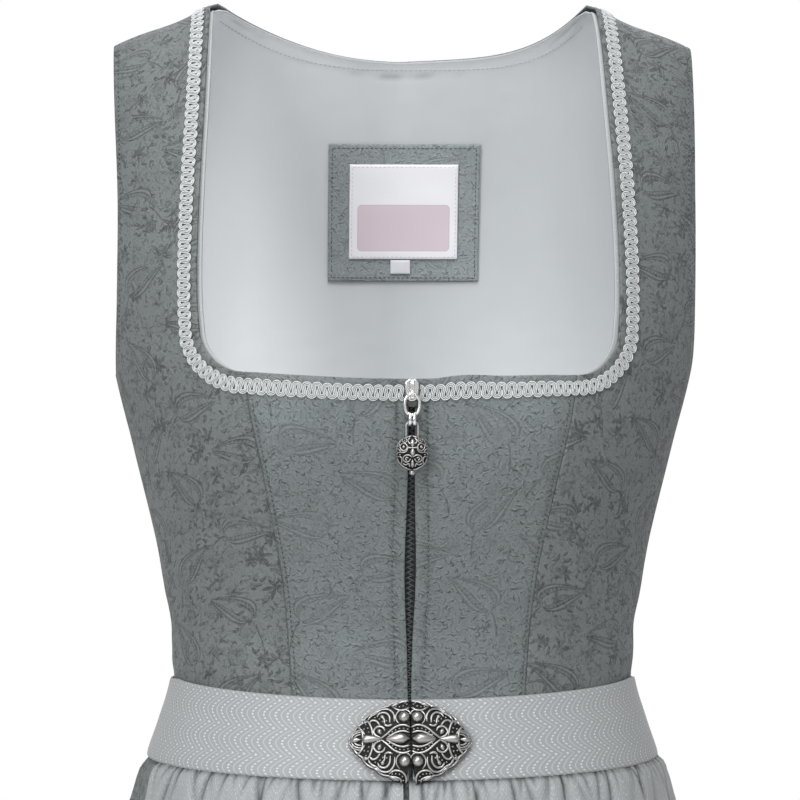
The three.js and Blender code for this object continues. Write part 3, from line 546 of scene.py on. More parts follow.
def jacquard(name, light, dark, bold, leafy):
    """Slate grey cloth with leaves, flowers and paisleys woven in its own colour, the
    leaves large and dark or fine and embossed, in bump and in painted light and shade.
    Close to the seams the mesh's pucker attribute draws it into short slanted ridges,
    with painted shade and light along them, and its crease attribute lays painted
    shade on it."""
    surface = Surface(name)
    x, y = surface.cloth_place()
    place = surface.vector(x, y)
    flow = surface.noise(place, 0.045, 1.0) * (3 * TURN)
    painted_emboss = 1 - leafy * 0.75
    leaves = {}
    for kind, size in LEAVES.items():
        shifted = x + size["shift"][0], y + size["shift"][1]
        angle = flow + size["angle"]
        leaves[kind] = scattered_leaves(
            surface, *shifted, size["cell"], size["length"], size["width"], angle, painted_emboss
        )
    tufts = sprigs(surface, x + 5.3, y + 3.1, 17.0, 7.6, 6)
    flower_lines, flower = flowers(surface, x + 9, y - 5, 27.0, 5.6)
    drop_lines, drop_pale, drop, core = paisleys(x, y)
    stems = vines(surface.noise(place, 0.034, 0.0), 0.3)
    crowded = surface.noise(place, 0.05, 2.0).below(0.54, 0.3)
    large = leaves["long"] * (0.2 + crowded * 0.8) + leaves["short"] * 0.7 + tufts * crowded * leafy
    small = leaves["stroke"] + leaves["fine"] * 0.8
    ground = large.smaller(1.0) * (0.45 + 0.55 * leafy) + small.smaller(1.0) * (1.0 - 0.7 * leafy)
    ground = ground * (1 - drop * (1 - core * 0.7) * 0.6) * (1 - flower * 0.5)
    lines = (drop_lines * (1 - flower) + stems * (1 - drop) * 0.4 + flower_lines * 0.6).smaller(1.0)
    broken = surface.noise(place, 0.9, 2.0)
    drawn = (ground + lines * (0.22 + 0.5 * leafy)).smaller(1.0) * (0.55 + 0.75 * broken)
    grain = surface.noise(surface.vector(x, y, flow), 0.75, 3.0, 0.65)
    patches = surface.noise(place, 0.025, 2.0)
    threads = surface.noise(surface.vector(x * 0.5, y * 2.6), 1.7, 2.0, 0.6)
    near = surface.mark("pucker")
    slanted = y * 2.5 + x * 1.3 + surface.noise(place, 0.22, 2.0) * 9
    ridges = (slanted.sin() + (slanted * 0.53 + 1.7).sin() * 0.6) * near
    tone = drawn * bold + patches * 0.22 + threads * 0.3 + (grain - 0.5) * 0.5
    # near darkens the cloth by the seams and ridges lightens and darkens it: painted shade and light on the
    # puckers.
    tone = (tone + 0.02 - drop_pale * drop * 0.08 + near * 0.08 - ridges * 0.05).clamped()
    # The crease mark lays painted shade in the grooves beside the zip and the curved seams.
    colour = surface.blend(surface.blend(light, dark, tone), JACQUARD_CREASE_SHADE, surface.mark("crease"))
    relief = drawn * -1.0 + threads * 0.4 - grain * 0.8 + drop_pale * drop * 0.2 + ridges * 0.6
    return surface.finished(
        relief, 0.0003, 1.0, colour=colour, roughness=0.5 + drawn * 0.2, sheen=0.1, sheen_roughness=0.45,
        specular=0.35,
    )


CHEVRON = {"row": 13.8, "up": 3.2, "period": 6.5, "dot": 1.5}


def chevrons(across, up):
    """Curved chevrons in rows, in turns dotted and solid. across runs along the rows."""
    row, period, step = CHEVRON["row"], CHEVRON["period"], CHEVRON["dot"]
    v = abs((((up + CHEVRON["up"]) / row).part() - 0.5) * row)
    arm = ((v * v + 2.2).root() - 1.48) * 0.8 + v * v * 0.065
    phase = (across - arm) / period
    dotted = abs(phase.part() - 0.5) * period
    solid = abs((phase + 0.5).part() - 0.5) * period
    dot_v = ((v / step).part() - 0.5) * step
    dot = ((dotted * dotted) * 0.7 + dot_v * dot_v).root().below(0.42, 0.3)
    return (dot * 0.95 + solid.below(0.3, 0.4) * 0.4).smaller(1.0)


def chevron_satin(name, turned, clear):
    """Light silver grey satin with woven chevrons, along the cloth's width or down it,
    darkened by painted shade where the mesh's hollow attribute is high.
    """
    surface = Surface(name)
    x, y = surface.cloth_place()
    lines = chevrons(y, x) if turned else chevrons(x, y)
    strength = 0.62 + 0.5 * surface.noise(surface.vector(x, y), 0.05, 1.0)
    threads = surface.noise(surface.vector(x * 3.0, y * 0.6), 1.5, 2.0, 0.6)
    tone = (lines * strength * clear + threads * 0.2).clamped()
    colour = surface.blend(grey(138, 141, 143), grey(210, 213, 215), tone)
    # Painted shade in the creases and under the band.
    colour = surface.blend(colour, grey(58, 61, 63), surface.mark("hollow").clamped())
    return surface.finished(
        lines * 0.7 + threads * 0.4, 0.00015, 0.7, colour=colour, roughness=0.5 - lines * 0.12, sheen=0.15,
        sheen_roughness=0.4, specular=0.4,
    )


def plain_cloth(name, colour, darker, weave, roughness, amount, foot=None):
    """A plain woven cloth with a faint thread and slight changes of tone. With a foot
    colour, it takes painted shade by the mesh's hollow attribute and painted
    light by its pale one."""
    surface = Surface(name)
    x, y = surface.cloth_place()
    warp = surface.noise(surface.vector(x * 4.0, y * 0.5), weave, 1.0)
    weft = surface.noise(surface.vector(x * 0.5, y * 4.0), weave, 1.0)
    soft = surface.noise(surface.vector(x, y), 0.04, 2.0)
    tone = ((warp + weft) * 0.25 + soft * 0.5 - 0.25).clamped()
    shade = surface.blend(colour, darker, tone * amount * 2)
    if foot is not None:
        # Painted light by the pale mark, then painted shade by the foot colour.
        shade = surface.blend(shade, grey(236, 239, 241), surface.mark("pale"))
        shade = surface.blend(shade, foot, surface.mark("hollow"))
    height = warp * 0.5 + weft * 0.5
    looks = {"colour": shade, "roughness": roughness, "sheen": 0.12, "specular": 0.3}
    return surface.finished(height, 0.0001, 0.6, **looks)


def thread(name, colour, darker, foot=None):
    """Twisted thread: fine slanted ridges in space, and painted shade in its hollows."""
    surface = Surface(name)
    fine = surface.noise(surface.solid_place(900.0), 1.0, 1.0)
    shade = surface.blend(colour, darker, fine)
    if foot is not None:
        # Painted shade at the strands' feet.
        shade = surface.blend(shade, foot, surface.mark("hollow"))
    return surface.finished(fine, 0.0001, 0.5, colour=shade, roughness=0.6, sheen=0.3)


def metal(name, bright, dark, roughness, hollows):
    """Metal, worn a little. With hollows, it is dark in them, by the mesh's attribute."""
    surface = Surface(name)
    worn = surface.noise(surface.solid_place(900.0), 1.0, 2.0)
    share, rougher = worn * 0.3, worn * 0.06
    if hollows:
        share = (surface.mark("hollow") * 1.05 + worn * 0.3 - 0.1).clamped()
        rougher = share * 0.3
    colour = surface.blend(bright, dark, share)
    return surface.finished(worn, 0.00006, 0.4, colour=colour, roughness=roughness + rougher, metallic=1.0)


def zip_plastic(name):
    surface = Surface(name)
    fine = surface.noise(surface.solid_place(700.0), 1.0, 2.0)
    colour = surface.blend(grey(48, 52, 54), grey(82, 86, 89), fine)
    return surface.finished(fine, 0.0001, 0.4, colour=colour, roughness=0.34 + fine * 0.15)


LABEL_BLOCK = {"half_width": 23.2, "half_tall": 10.3, "down": 8.6, "corner": 2.2}


def label_cloth():
    """White woven label with a plain rose block low down. The rest of it is bare."""
    surface = Surface("label_cloth")
    x, y = surface.cloth_place()
    box_x = (abs(x) - LABEL_BLOCK["half_width"]).larger(0.0)
    box_y = (abs(y + LABEL_BLOCK["down"]) - LABEL_BLOCK["half_tall"]).larger(0.0)
    away = (box_x * box_x + box_y * box_y).root()
    warp = surface.noise(surface.vector(x * 5.0, y * 0.4), 2.0, 1.0)
    block = away.below(LABEL_BLOCK["corner"], 0.25)
    colour = surface.blend(grey(250, 249, 253), grey(222, 202, 211), block)
    border = abs(away - LABEL_BLOCK["corner"]).below(0.25, 0.25)
    colour = surface.blend(colour, grey(196, 182, 190), border * 0.7)
    colour = surface.blend(colour, grey(216, 215, 220), warp * 0.35)
    return surface.finished(warp, 0.0001, 0.6, colour=colour, roughness=0.65, sheen=0.1)


JACQUARD = jacquard("jacquard", grey(121, 128, 129), grey(46, 51, 52), 0.72, 0.3)
# The side copy is darker, with bolder leaves: painted shade standing in for the sheen that changes with the
# angle to the light.
JACQUARD_SIDE_SHADED = jacquard("jacquard_side_shaded", grey(119, 125, 125), grey(42, 46, 46), 0.58, 0.9)
# The patch's copy is lighter than the cloth it is cut from: painted light inside the back.
JACQUARD_PATCH_PAINTED_LIGHT = jacquard("jacquard_patch_painted_light", grey(166, 173, 174), grey(84, 90, 91), 0.6, 0.3)
# The lining's foot colour is painted shade, and its pale mark paints light.
LINING = plain_cloth(
    "lining", grey(199, 203, 205), grey(184, 189, 192), 2.4, 0.62, 0.35, foot=grey(120, 122, 124)
)
BAND_SATIN = chevron_satin("band_satin", False, 0.9)
APRON_SATIN = chevron_satin("apron_satin", True, 0.45)
# The braid's foot colour is painted shade under and between its strands.
BRAID = thread("braid", grey(216, 219, 220), grey(178, 182, 184), foot=grey(84, 89, 91))
DARK_THREAD = thread("dark_thread", grey(36, 40, 42), grey(54, 59, 61))
CLOTH_THREAD = thread("cloth_thread", grey(116, 123, 124), grey(88, 94, 96))
PALE_THREAD = thread("pale_thread", grey(220, 223, 224), grey(184, 188, 191))
LINING_THREAD = thread("lining_thread", grey(196, 200, 202), grey(160, 165, 168))
TAPE = plain_cloth("zip_tape", grey(40, 44, 46), grey(26, 29, 31), 2.0, 0.7, 0.6)
TEETH = zip_plastic("zip_teeth")
WHITE_LABEL = label_cloth()
PLAIN_LABEL = plain_cloth("tag_cloth", grey(228, 228, 233), grey(204, 204, 210), 2.0, 0.65, 0.4)
SILVER = metal("bright_metal", (0.88, 0.88, 0.87, 1), (0.55, 0.55, 0.54, 1), 0.2, False)
OLD_SILVER = metal("old_silver", (0.46, 0.455, 0.45, 1), (0.035, 0.035, 0.035, 1), 0.36, True)


# Meshes.


def settled(points):
    """The wearer's left half of the front neckline sits a little higher beside the zip
    and lower towards the corner than its mirror image."""
    points = np.array(points, float)
    x, y, z = points.T
    near = np.exp(-(((z + 188) / 17) ** 2)) * np.clip((x - 8) / 10, 0, 1) * np.clip(-y / 20, 0, 1)
    points[:, 2] += near * (1.6 * bump_at(x, 27, 14) - 1.7 * bump_at(x, 86, 20))
    return points


def mesh_piece(name, points, faces, material, cloth=None, marks=None):
    """A piece from points in millimetres and faces, with its place on the cloth. Marks
    are numbers at the points that the material reads by their names."""
    mesh = bpy.data.meshes.new(name)
    mesh.from_pydata((settled(points) * MM).tolist(), [], [list(face) for face in faces])
    mesh.polygons.foreach_set("use_smooth", [True] * len(mesh.polygons))
    if cloth is not None:
        layer = mesh.uv_layers.new(name="cloth")
        corner = np.zeros(len(mesh.loops), np.int64)
        mesh.loops.foreach_get("vertex_index", corner)
        layer.uv.foreach_set("vector", (cloth[corner] * MM).astype(np.float32).ravel())
    for mark, values in (marks or {}).items():
        attribute = mesh.attributes.new(mark, "FLOAT", "POINT")
        attribute.data.foreach_set("value", np.asarray(values, np.float32))
    mesh.materials.append(material)
    mesh.update()
    piece = bpy.data.objects.new(name, mesh)
    bpy.context.scene.collection.objects.link(piece)
    return piece


def quads(index):
    """The faces between the rows and columns of a grid of vertex numbers."""
    corners = [index[:-1, :-1], index[:-1, 1:], index[1:, 1:], index[1:, :-1]]
    return np.stack(corners, -1).reshape(-1, 4)


def ring_grid(rows, columns):
    """The vertex numbers of rings of points, each closed on its first point."""
    index = np.arange(rows * columns).reshape(rows, columns)
    return np.concatenate([index, index[:, :1]], 1)


def signed_volume(points, faces):
    a, b, c, d = (points[faces[:, i]] for i in range(4))
    first = np.einsum("ij,ij->i", a, np.cross(b, c))
    second = np.einsum("ij,ij->i", a, np.cross(c, d))
    return (first + second).sum()


def lengths_across(grid):
    """How far along its row each point of a grid is, from the middle column."""
    step = np.linalg.norm(np.diff(grid, axis=1), axis=-1)
    run = np.concatenate([np.zeros((len(grid), 1)), np.cumsum(step, axis=1)], axis=1)
    return run - run[:, run.shape[1] // 2][:, None]


def cloth_grid(outer, reference_row=None):
    """The flat place of each point of a grid. With a reference row, every row takes
    that row's places across, as in cloth that is gathered."""
    across = lengths_across(outer)
    if reference_row is not None:
        across = np.repeat(across[reference_row][None], len(outer), axis=0)
    up = run_along(outer[:, outer.shape[1] // 2])
    return np.stack([across, np.broadcast_to(up[:, None], across.shape)], -1)


def wall(inner, outer):
    """Points and faces of a closed wall between an inner and an outer grid of points."""
    rows, columns = inner.shape[:2]
    within = np.arange(rows * columns).reshape(rows, columns)
    without = within + rows * columns
    faces = [quads(without), quads(within)[:, ::-1]]
    edges = [
        (within[0], without[0]),
        (within[-1][::-1], without[-1][::-1]),
        (within[:, 0][::-1], without[:, 0][::-1]),
        (within[:, -1], without[:, -1]),
    ]
    for low, high in edges:
        faces.append(np.stack([low[:-1], low[1:], high[1:], high[:-1]], -1))
    faces = np.concatenate(faces)
    points = np.concatenate([inner.reshape(-1, 3), outer.reshape(-1, 3)])
    if signed_volume(points, faces) < 0:
        faces = faces[:, ::-1]
    return points, faces


def shell(name, inner, outer, material, cloth=None, marks=None):
    """A piece of cloth: a closed wall between an inner and an outer grid of points."""
    points, faces = wall(inner, outer)
    if cloth is None:
        cloth = cloth_grid(outer)
    flat = np.concatenate([cloth.reshape(-1, 2)] * 2)
    at_points = {
        mark: np.concatenate([np.broadcast_to(values, outer.shape[:2]).ravel()] * 2)
        for mark, values in (marks or {}).items()
    }
    return mesh_piece(name, points, faces, material, flat, at_points)


def anchored(cloth, outer, x):
    """The cloth's places with every row's counted from the line at x, and up along it."""
    line = []
    for row, points in enumerate(outer):
        order = np.argsort(points[:, 0])
        cloth[row, :, 0] -= np.interp(x, points[order, 0], cloth[row, order, 0])
        line.append([np.interp(x, points[order, 0], points[order, axis]) for axis in range(3)])
    cloth[..., 1] = cloth[0, 0, 1] + run_along(np.array(line))[:, None]
    return cloth


def mirrored(grid):
    return grid * np.array([-1.0, 1.0, 1.0])


def shares(count, width, edge=0.7):
    """Shares from 0 to 1, with two more steps close to each end of a width."""
    near = edge / width
    middle = np.linspace(3 * near, 1 - 3 * near, count)
    return np.concatenate([[0, near, 2 * near * 0.9], middle, [1 - 2 * near * 0.9, 1 - near, 1]])


def dressed(piece, node, body="dress"):
    """The piece stands for a node of the model and moves with a body."""
    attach(piece, body)
    if node:
        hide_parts(node)
    return piece


# The bodice.


def wrinkles(points, seed):
    """The soft unevenness of the bodice's cloth."""
    x, z = points[..., 0], points[..., 2]
    waist = np.clip((-270 - z) / 100, 0, 1)
    broad = 0.22 * ripples(x, z * 0.7, 55, seed)
    slanted = 0.3 * waist * ripples(x * 0.6 + z * 0.25, z * 1.6, 26, seed + 1.7)
    return broad + slanted


ZIP_STITCH = 6.2


def dress_walls(turn, level, relief, **marks):
    """The inner and outer points of dress cloth with a relief, and its marks."""
    return off_figure(turn, level, relief * 0.8), off_figure(turn, level, SHELL + relief), marks


def lining_walls(turn, level, relief, inside=0, **marks):
    """The inner and outer points of lining with a relief, and its marks. What is inside
    shows on the side of the body alone."""
    inner = off_figure(turn, level, LINING_IN + relief + inside)
    return inner, off_figure(turn, level, LINING_OUT + relief * 0.5), marks


def princess_turn(z, level, beside):
    """The turn of the curved front seam, and a little beside it."""
    return nudge(turn_at(along(PRINCESS_SEAM, z, "x"), z), level, beside)


def front_panel(side):
    """From the zip to the curved seam. side is 1 at the wearer's left."""
    across = shares(44, 60)[None, :]
    up = shares(104, 178)[:, None]
    top = front_neck_z(across * CORNER["x"])
    level = mix(WAIST, top, up)
    seam = princess_turn(level, level, -SEAM_HALF)
    turn = mix(turn_at(along(ZIP_SLIT, level, "x"), level), seam, across)
    width = (seam - turn[:, :1]) * along(FIGURE, level, "front")
    from_zip = across * width
    from_seam = (1 - across) * width
    relief = wrinkles(figure(turn, level), 0.4 + side)
    relief = relief - 0.35 * np.exp(-from_seam / 1.0) - 0.3 * np.exp(-from_zip / 0.9)
    relief = relief - 0.4 * bump_at(from_zip, ZIP_STITCH, 1.1) - 0.18 * bump_at(from_seam, 2.2, 0.8)
    gathered = np.sin(level / 1.9 + 2 * np.sin(level / 9 + side))
    relief = relief + 0.16 * gathered * bump_at(from_zip, ZIP_STITCH, 3.0)
    relief = relief - 0.3 * np.exp(-(top - level) / 0.8)
    pucker = bump_at(from_zip, ZIP_STITCH, 2.6) + 0.45 * bump_at(from_seam, 2.2, 1.6)
    by_the_pull = np.clip((level + 243) / 30, 0.12, 1)
    broken = 0.65 + 0.35 * np.sin(level / 1.7 + np.sin(level / 5))
    # Painted shade in the stitched groove beside the zip and along the curved seam.
    crease = 0.6 * by_the_pull * broken * bump_at(from_zip, ZIP_STITCH - 0.4 + 0.5 * np.sin(level / 6), 0.8)
    crease = crease + 0.3 * np.exp(-from_seam / 0.5)
    return dress_walls(turn, level, relief, pucker=pucker, crease=crease)


def corner_levels(upper_count):
    """Rows from the waist round the neckline's corner to the shoulder seam."""
    low = mix(WAIST, NECK_BOTTOM, shares(78, 178)[:-1])
    angles = np.linspace(0, np.pi / 2, 15)[:-1]
    corner = CORNER["z"] - CORNER["radius"] * np.cos(angles)
    corner[0] = NECK_BOTTOM + 0.01
    first = float(level_of(CORNER["z"]))
    high = mix(first, TOP_LEVEL, shares(upper_count, 290)[3:])
    return np.concatenate([low, level_of(corner), [first], high])


RIGHT_ARM_IN = 1.4
LEFT_ARM_OUT = 1.3
LEFT_LINING_OUT = 5.0


def side_front_turns(level, across, neck_edge, arm_shift):
    """The turns of a side front piece, from the curved seam and the neckline to the side
    seam and the armhole, and where it lies below the neckline."""
    z = height_of(level)
    low = z <= NECK_BOTTOM
    first = np.where(low, princess_turn(z, level, SEAM_HALF), turn_at(neck_x(z) - neck_edge, z))
    edge = turn_at(along(ARMHOLE, z, "x") + arm_shift, z)
    last = np.where(low, nudge(np.pi / 2, level, -SEAM_HALF), edge)
    return mix(first, last, across), low


def side_front_panel(side):
    """From the curved seam to the side seam, with the front of the strap."""
    level = corner_levels(86)[:, None]
    z = height_of(level)
    shift = LEFT_ARM_OUT * bump_at(z, -95, 60) if side > 0 else -RIGHT_ARM_IN * bump_at(z, -110, 75)
    turn, low = side_front_turns(level, shares(48, 80)[None, :], 0, shift)
    base = figure(turn, level)
    run = lengths_across(base)
    from_first = run - run[:, :1]
    from_last = run[:, -1:] - run
    stitched = np.where(low, 0, 1)
    relief = wrinkles(base, 2.1 + side) - 0.3 * np.exp(-from_first / 1.0) - 0.35 * np.exp(-from_last / 1.0)
    relief = relief - 0.25 * stitched * bump_at(from_last, 2.8, 0.8)
    pucker = 0.3 * (1 - stitched) * bump_at(from_first, 1.0, 2.0)
    pucker = pucker + 0.35 * stitched * bump_at(from_last, 2.7, 1.4)
    return dress_walls(turn, level, relief, pucker=pucker)


def side_back_panel(side):
    """From the side seam to the curved back seam."""
    level = level_of(mix(WAIST, BACK_EDGE_TOP, shares(92, 262)))[:, None]
    across = shares(34, 90)[None, :]
    z = height_of(level)
    seam = nudge(turn_at(along(BACK_SEAM, z, "x"), z, True), level, -SEAM_HALF)
    armhole = turn_at(along(ARMHOLE, z, "x"), z, True)
    first = np.where(z <= NECK_BOTTOM, nudge(np.pi / 2, level, SEAM_HALF), armhole)
    turn = mix(first, seam, across)
    base = figure(turn, level)
    run = lengths_across(base)
    relief = wrinkles(base, 4.4 + side)
    relief = relief - 0.4 * np.exp(-(run - run[:, :1]) / 1.0) - 0.5 * np.exp(-(run[:, -1:] - run) / 1.0)
    return dress_walls(turn, level, relief)


def back_levels(across, side_edge_top, neck_shift):
    """The levels of a back piece: rows that are level low down, and that bend to
    follow the neckline at the top."""
    fixed = float(level_of(side_edge_top))
    low = mix(WAIST, fixed, shares(82, 262)[:-3])
    x = (1 - 2 * across) * STRAP_ARM_X
    z = back_neck_z(x) + neck_shift
    climb = np.arcsin(np.clip((z - ARMPIT) / (ridge_z(x) - ARMPIT), 0, 1))
    top = np.where(np.abs(x) >= STRAP_NECK_X, TOP_LEVEL, np.minimum(TOP_LEVEL, ARMPIT - ARMPIT * climb))
    high = fixed + shares(42, 120)[2:, None] * (top[None, :] - fixed)
    return np.concatenate([np.repeat(low[:, None], across.shape[-1], 1), high])


def back_piece():
    """The centre back with the backs of both straps."""
    across = shares(98, 260)
    level = back_levels(across, BACK_EDGE_TOP, 0)
    z = height_of(level)
    low = z < BACK_SEAM_TOP
    first = turn_at(np.where(low, along(BACK_SEAM, z, "x"), along(ARMHOLE, z, "x")), z, True)
    first = np.where(low, nudge(first, level, SEAM_HALF), first)
    turn = mix(first, TURN - first, across[None, :])
    base = figure(turn, level)
    run = lengths_across(base)
    from_edge = np.minimum(run - run[:, :1], run[:, -1:] - run)
    relief = wrinkles(base, 6.3) - 0.45 * np.exp(-from_edge / 1.0)
    return dress_walls(turn, level, relief - 0.3 * np.where(low, 0, 1) * bump_at(from_edge, 2.8, 0.8))


def lining_relief(points, seed):
    """Faint creases of the lining, most of them upright."""
    x, z = points[..., 0], points[..., 2]
    return 0.3 * ripples(x * 1.5, z * 0.5, 48, seed) + 0.12 * ripples(x, z * 1.4, 17, seed + 2)


LINING_BY_ZIP = 13.0


def lining_front(side):
    across = shares(20, 60)[None, :]
    up = shares(50, 178)[:, None]
    top = front_neck_z(across * CORNER["x"])
    level = mix(WAIST, top, up)
    seam = princess_turn(level, level, -SEAM_HALF)
    turn = mix(turn_at(np.full_like(level, LINING_BY_ZIP), level), seam, across)
    relief = lining_relief(figure(turn, level), 1.0 + side)
    # Painted shade under the neckline's edge.
    return lining_walls(turn, level, relief, hollow=0.5 * np.exp(-(top - level) / 2.5))


def lining_side_front(side):
    level = corner_levels(60)[:, None]
    z = height_of(level)
    shown = bump_at(z, -110, 85) * np.clip((z - ARMPIT) / 30, 0, 1)
    shift = (LEFT_LINING_OUT if side > 0 else -RIGHT_ARM_IN) * shown
    turn, low = side_front_turns(level, shares(26, 80)[None, :], LINING_SHOWS, shift)
    base = figure(turn, level)
    run = lengths_across(base)
    from_neck = run - run[:, :1]
    relief = lining_relief(base, 2.0 + side) * np.clip(from_neck / 8, 0, 1)
    # Painted shade under the neckline's edge and by the armhole.
    hollow = 0.5 * np.where(low, 0, 1) * np.exp(-from_neck / 2.5) + 0.35 * np.exp(-(run[:, -1:] - run) / 4)
    return lining_walls(turn, level, relief, hollow=hollow)


# Below the back neckline the lining has a facing, sewn on along a line. Its edge rolls
# a little over the dress cloth.
FACING_DROP = 9.5
LINING_RISES = 1.0


def lining_back():
    across = shares(80, 300)
    level = back_levels(across, LINING_EDGE_TOP, LINING_RISES)
    z = height_of(level)
    armhole = turn_at(along(ARMHOLE, z, "x"), z, True)
    first = np.where(z <= NECK_BOTTOM, nudge(np.pi / 2, level, SEAM_HALF), armhole)
    turn = mix(first, TURN - first, across[None, :])
    base = figure(turn, level)
    x = base[..., 0]
    down = level[-1:] - level
    seam = np.where(np.abs(x) < STRAP_NECK_X, 1, 0)
    relief = lining_relief(base, 5.0) * np.clip(down / 30, 0.15, 1)
    groove = 0.45 * seam * bump_at(down, FACING_DROP, 0.7) + 0.2 * bump_at(down, 2.4, 0.7)
    pucker = 0.12 * np.sin(x / 1.1) * bump_at(down, 2.4, 1.8)
    wavy = down + 0.35 * np.sin(x / 3.1)
    lines = seam * (0.42 * bump_at(wavy, FACING_DROP, 0.55) + 0.16 * bump_at(down, 3.4, 0.6))
    # Painted light on the lining's flanks, most on the wearer's right, and near the top.
    pale = np.clip((np.abs(x) - 5) / 75, 0, 1) * np.where(x < 0, 1.0, 0.1)
    pale = np.maximum(pale, 0.22 * np.clip((base[..., 2] + 80) / 45, 0, 1))
    # Painted shade along the facing's seams and under the top edge.
    hollow = lines + 0.55 * np.exp(-down / 0.7)
    return lining_walls(turn, level, relief, groove + pucker, hollow=hollow, pale=pale)


PATTERN_LINE_X = 112.0


def build_bodice():
    """All the panels of dress cloth and lining above the waist."""
    paired = [
        ("front", front_panel, JACQUARD, "jacquard", (0.062, 0.18), 0.0107),
        ("side_front", side_front_panel, JACQUARD_SIDE_SHADED, "jacquard", (0.135, 0.42), 0.032),
        ("side_back", side_back_panel, JACQUARD_SIDE_SHADED, "jacquard", (0.12, 0.275), 0.0255),
        ("lining_front", lining_front, LINING, "lining", (0.05, 0.18), 0.0084),
        ("lining_side_front", lining_side_front, LINING, "lining", (0.135, 0.42), 0.032),
    ]
    for name, maker, material, slot, flat, area in paired:
        for ending, side in (("left", 1), ("right", -1)):
            inner, outer, marks = maker(side)
            cloth = cloth_grid(outer) + np.array([len(name) * 31.0, len(name) * 17.0])
            if name.startswith("side"):
                cloth = anchored(cloth, outer, PATTERN_LINE_X)
            if side < 0:
                inner, outer = mirrored(inner), mirrored(outer)
                cloth = cloth * np.array([-1.0, 1.0]) + np.array([13.0, 29.0])
            node = f"{name}_{ending}"
            piece = dressed(shell(node + "_cloth", inner, outer, material, cloth, marks), node)
    for name, maker, material, slot, flat, area in [
        ("back", back_piece, JACQUARD, "jacquard", (0.31, 0.46), 0.082),
        ("lining_back", lining_back, LINING, "lining", (0.40, 0.46), 0.13),
    ]:
        inner, outer, marks = maker()
        piece = dressed(shell(name + "_cloth", inner, outer, material, marks=marks), name)


# The skirt and the apron.
SKIRT_COLUMNS = 108
FOLD_COLUMNS = 3
FOLD_DEPTH = table(
    "z depth sided",
    (-395, 0.4, 1),
    (-404, 0.9, 1),
    (-420, 2.2, 1),
    (-470, 8.0, 0.6),
    (-570, 17, 0.2),
    (-730, 24, 0),
    (HEM, 32, 0),
)
FOLD_LOOSER = 0.35
APRON_HEM = -925.0
APRON_TOP_RISE = 3.4
APRON_LEFT = {"side": 1, "first": 0.5, "last": 25, "edge": "left"}
APRON_RIGHT = {"side": -1, "first": 1, "last": 21.6, "edge": "right"}
GATHERS = table(
    "z depth gap",
    (-389, 0.0, 0.1),
    (-395, 0.1, 0.4),
    (-404, 0.3, 0.6),
    (-420, 1.2, 1.0),
    (-470, 4.6, 1.7),
    (-570, 6.0, 2.4),
    (-730, 6.5, 2.6),
    (APRON_HEM, 8.0, 2.6),
)
APRON_EDGE = table(
    "z left right",
    (-395, -0.9, 3.8),
    (-420, -0.9, 3.9),
    (-470, 0, 4.2),
    (-570, 1.5, 5.5),
    (APRON_HEM, 5, 8.5),
)
# The gathers close under the band: how far they stand out, by the height.
TUCKS = table("z deep", (-389, 3.6), (-430, 3.8), (-480, 2.0), (-600, 0.5), (HEM, 0.3))


SKIRT_TOP = -370.3
APRON_TOP = -391.8
ROWS_DOWN = 71
COLUMN_WIDTH = 7.4


def skirt_turn(column, z):
    even = column / SKIRT_COLUMNS * TURN
    down = np.clip((-395 - z) / (-395 - HEM), 0, None)
    return even + 0.012 * down * np.sin(even * 9 + 1.3) * np.sin(even) ** 2


def skirt_offsets(z):
    """How far the skirt's folds stand out at every whole column, for each height."""
    column = np.arange(SKIRT_COLUMNS)[None, :]
    fold = column // FOLD_COLUMNS
    lean = np.where(column % FOLD_COLUMNS == 1, 1, 0.86)
    even = column / SKIRT_COLUMNS * TURN
    loose = 1 - FOLD_LOOSER * np.sin(even) * along(FOLD_DEPTH, z, "sided")
    out = along(FOLD_DEPTH, z, "depth") * mix(0.62, 1, uneven(fold, 0.7)) * lean * loose
    return np.where(column % FOLD_COLUMNS == 0, 0, out)


def smooth_between(values, at):
    """Values at whole columns of a ring, read smoothly between them."""
    count = values.shape[1]
    low = np.floor(at).astype(int)
    near = (values[:, (low + k) % count] for k in (-1, 0, 1, 2))
    return np.maximum(smooth_step(*near, (at - low)[None, :]), 0)


def creases(place, down, spacing, lengths, seed):
    """How deep narrow creases are that start at the seam above, from 0 to 1. Each has its
    own place, depth, slant and length."""
    total = 0
    for n in range(int(place.max() / spacing) + 1):
        centre = (n + 0.5 + 0.3 * math.sin(n * 2.7 + seed) + 0.22 * math.sin(n * 1.1 + 2 * seed)) * spacing
        length = mix(*lengths, float(uneven(n, seed)) ** 2)
        deep = mix(0.45, 1.2, float(uneven(n, seed + 1.3)))
        lean = 0.3 * math.sin(n * 4.3 + seed)
        beside = np.abs(place - centre - lean * down)
        total = total + deep * np.exp(-((down / length) ** 2)) * np.exp(-beside / (0.75 + 0.06 * down))
    return np.minimum(1, total)


def tucks(place, down, spacing, seed):
    """Deep and small creases under a gathered edge, that turn into broad soft folds below.
    Gives how far the cloth stands out and how much painted shade to lay in its creases
    and valleys."""
    place = place + 0 * down
    main = creases(place, down, spacing, (12, 60), seed)
    small = creases(place, down, spacing * 0.41, (3, 13), seed + 2.2)
    phase = place / spacing * 1.9 + 1.3 * np.sin(place / (spacing * 1.7) + seed) + 0.012 * down
    broad = np.abs(np.sin(phase)) ** 0.7 * (0.7 + 0.3 * np.sin(place / 17 + 2 * seed))
    low = np.clip((down - 4) / 30, 0, 1)
    out = mix(1 - 0.85 * main - 0.5 * small, broad * (0.4 + 0.6 * (1 - main)), low)
    valley = np.clip(1 - 3 * broad, 0, 1) * low
    return np.clip(out, 0, 1), np.clip(main**1.4 * 0.95 + small**1.5 * 0.75 + 0.3 * valley, 0, 1)


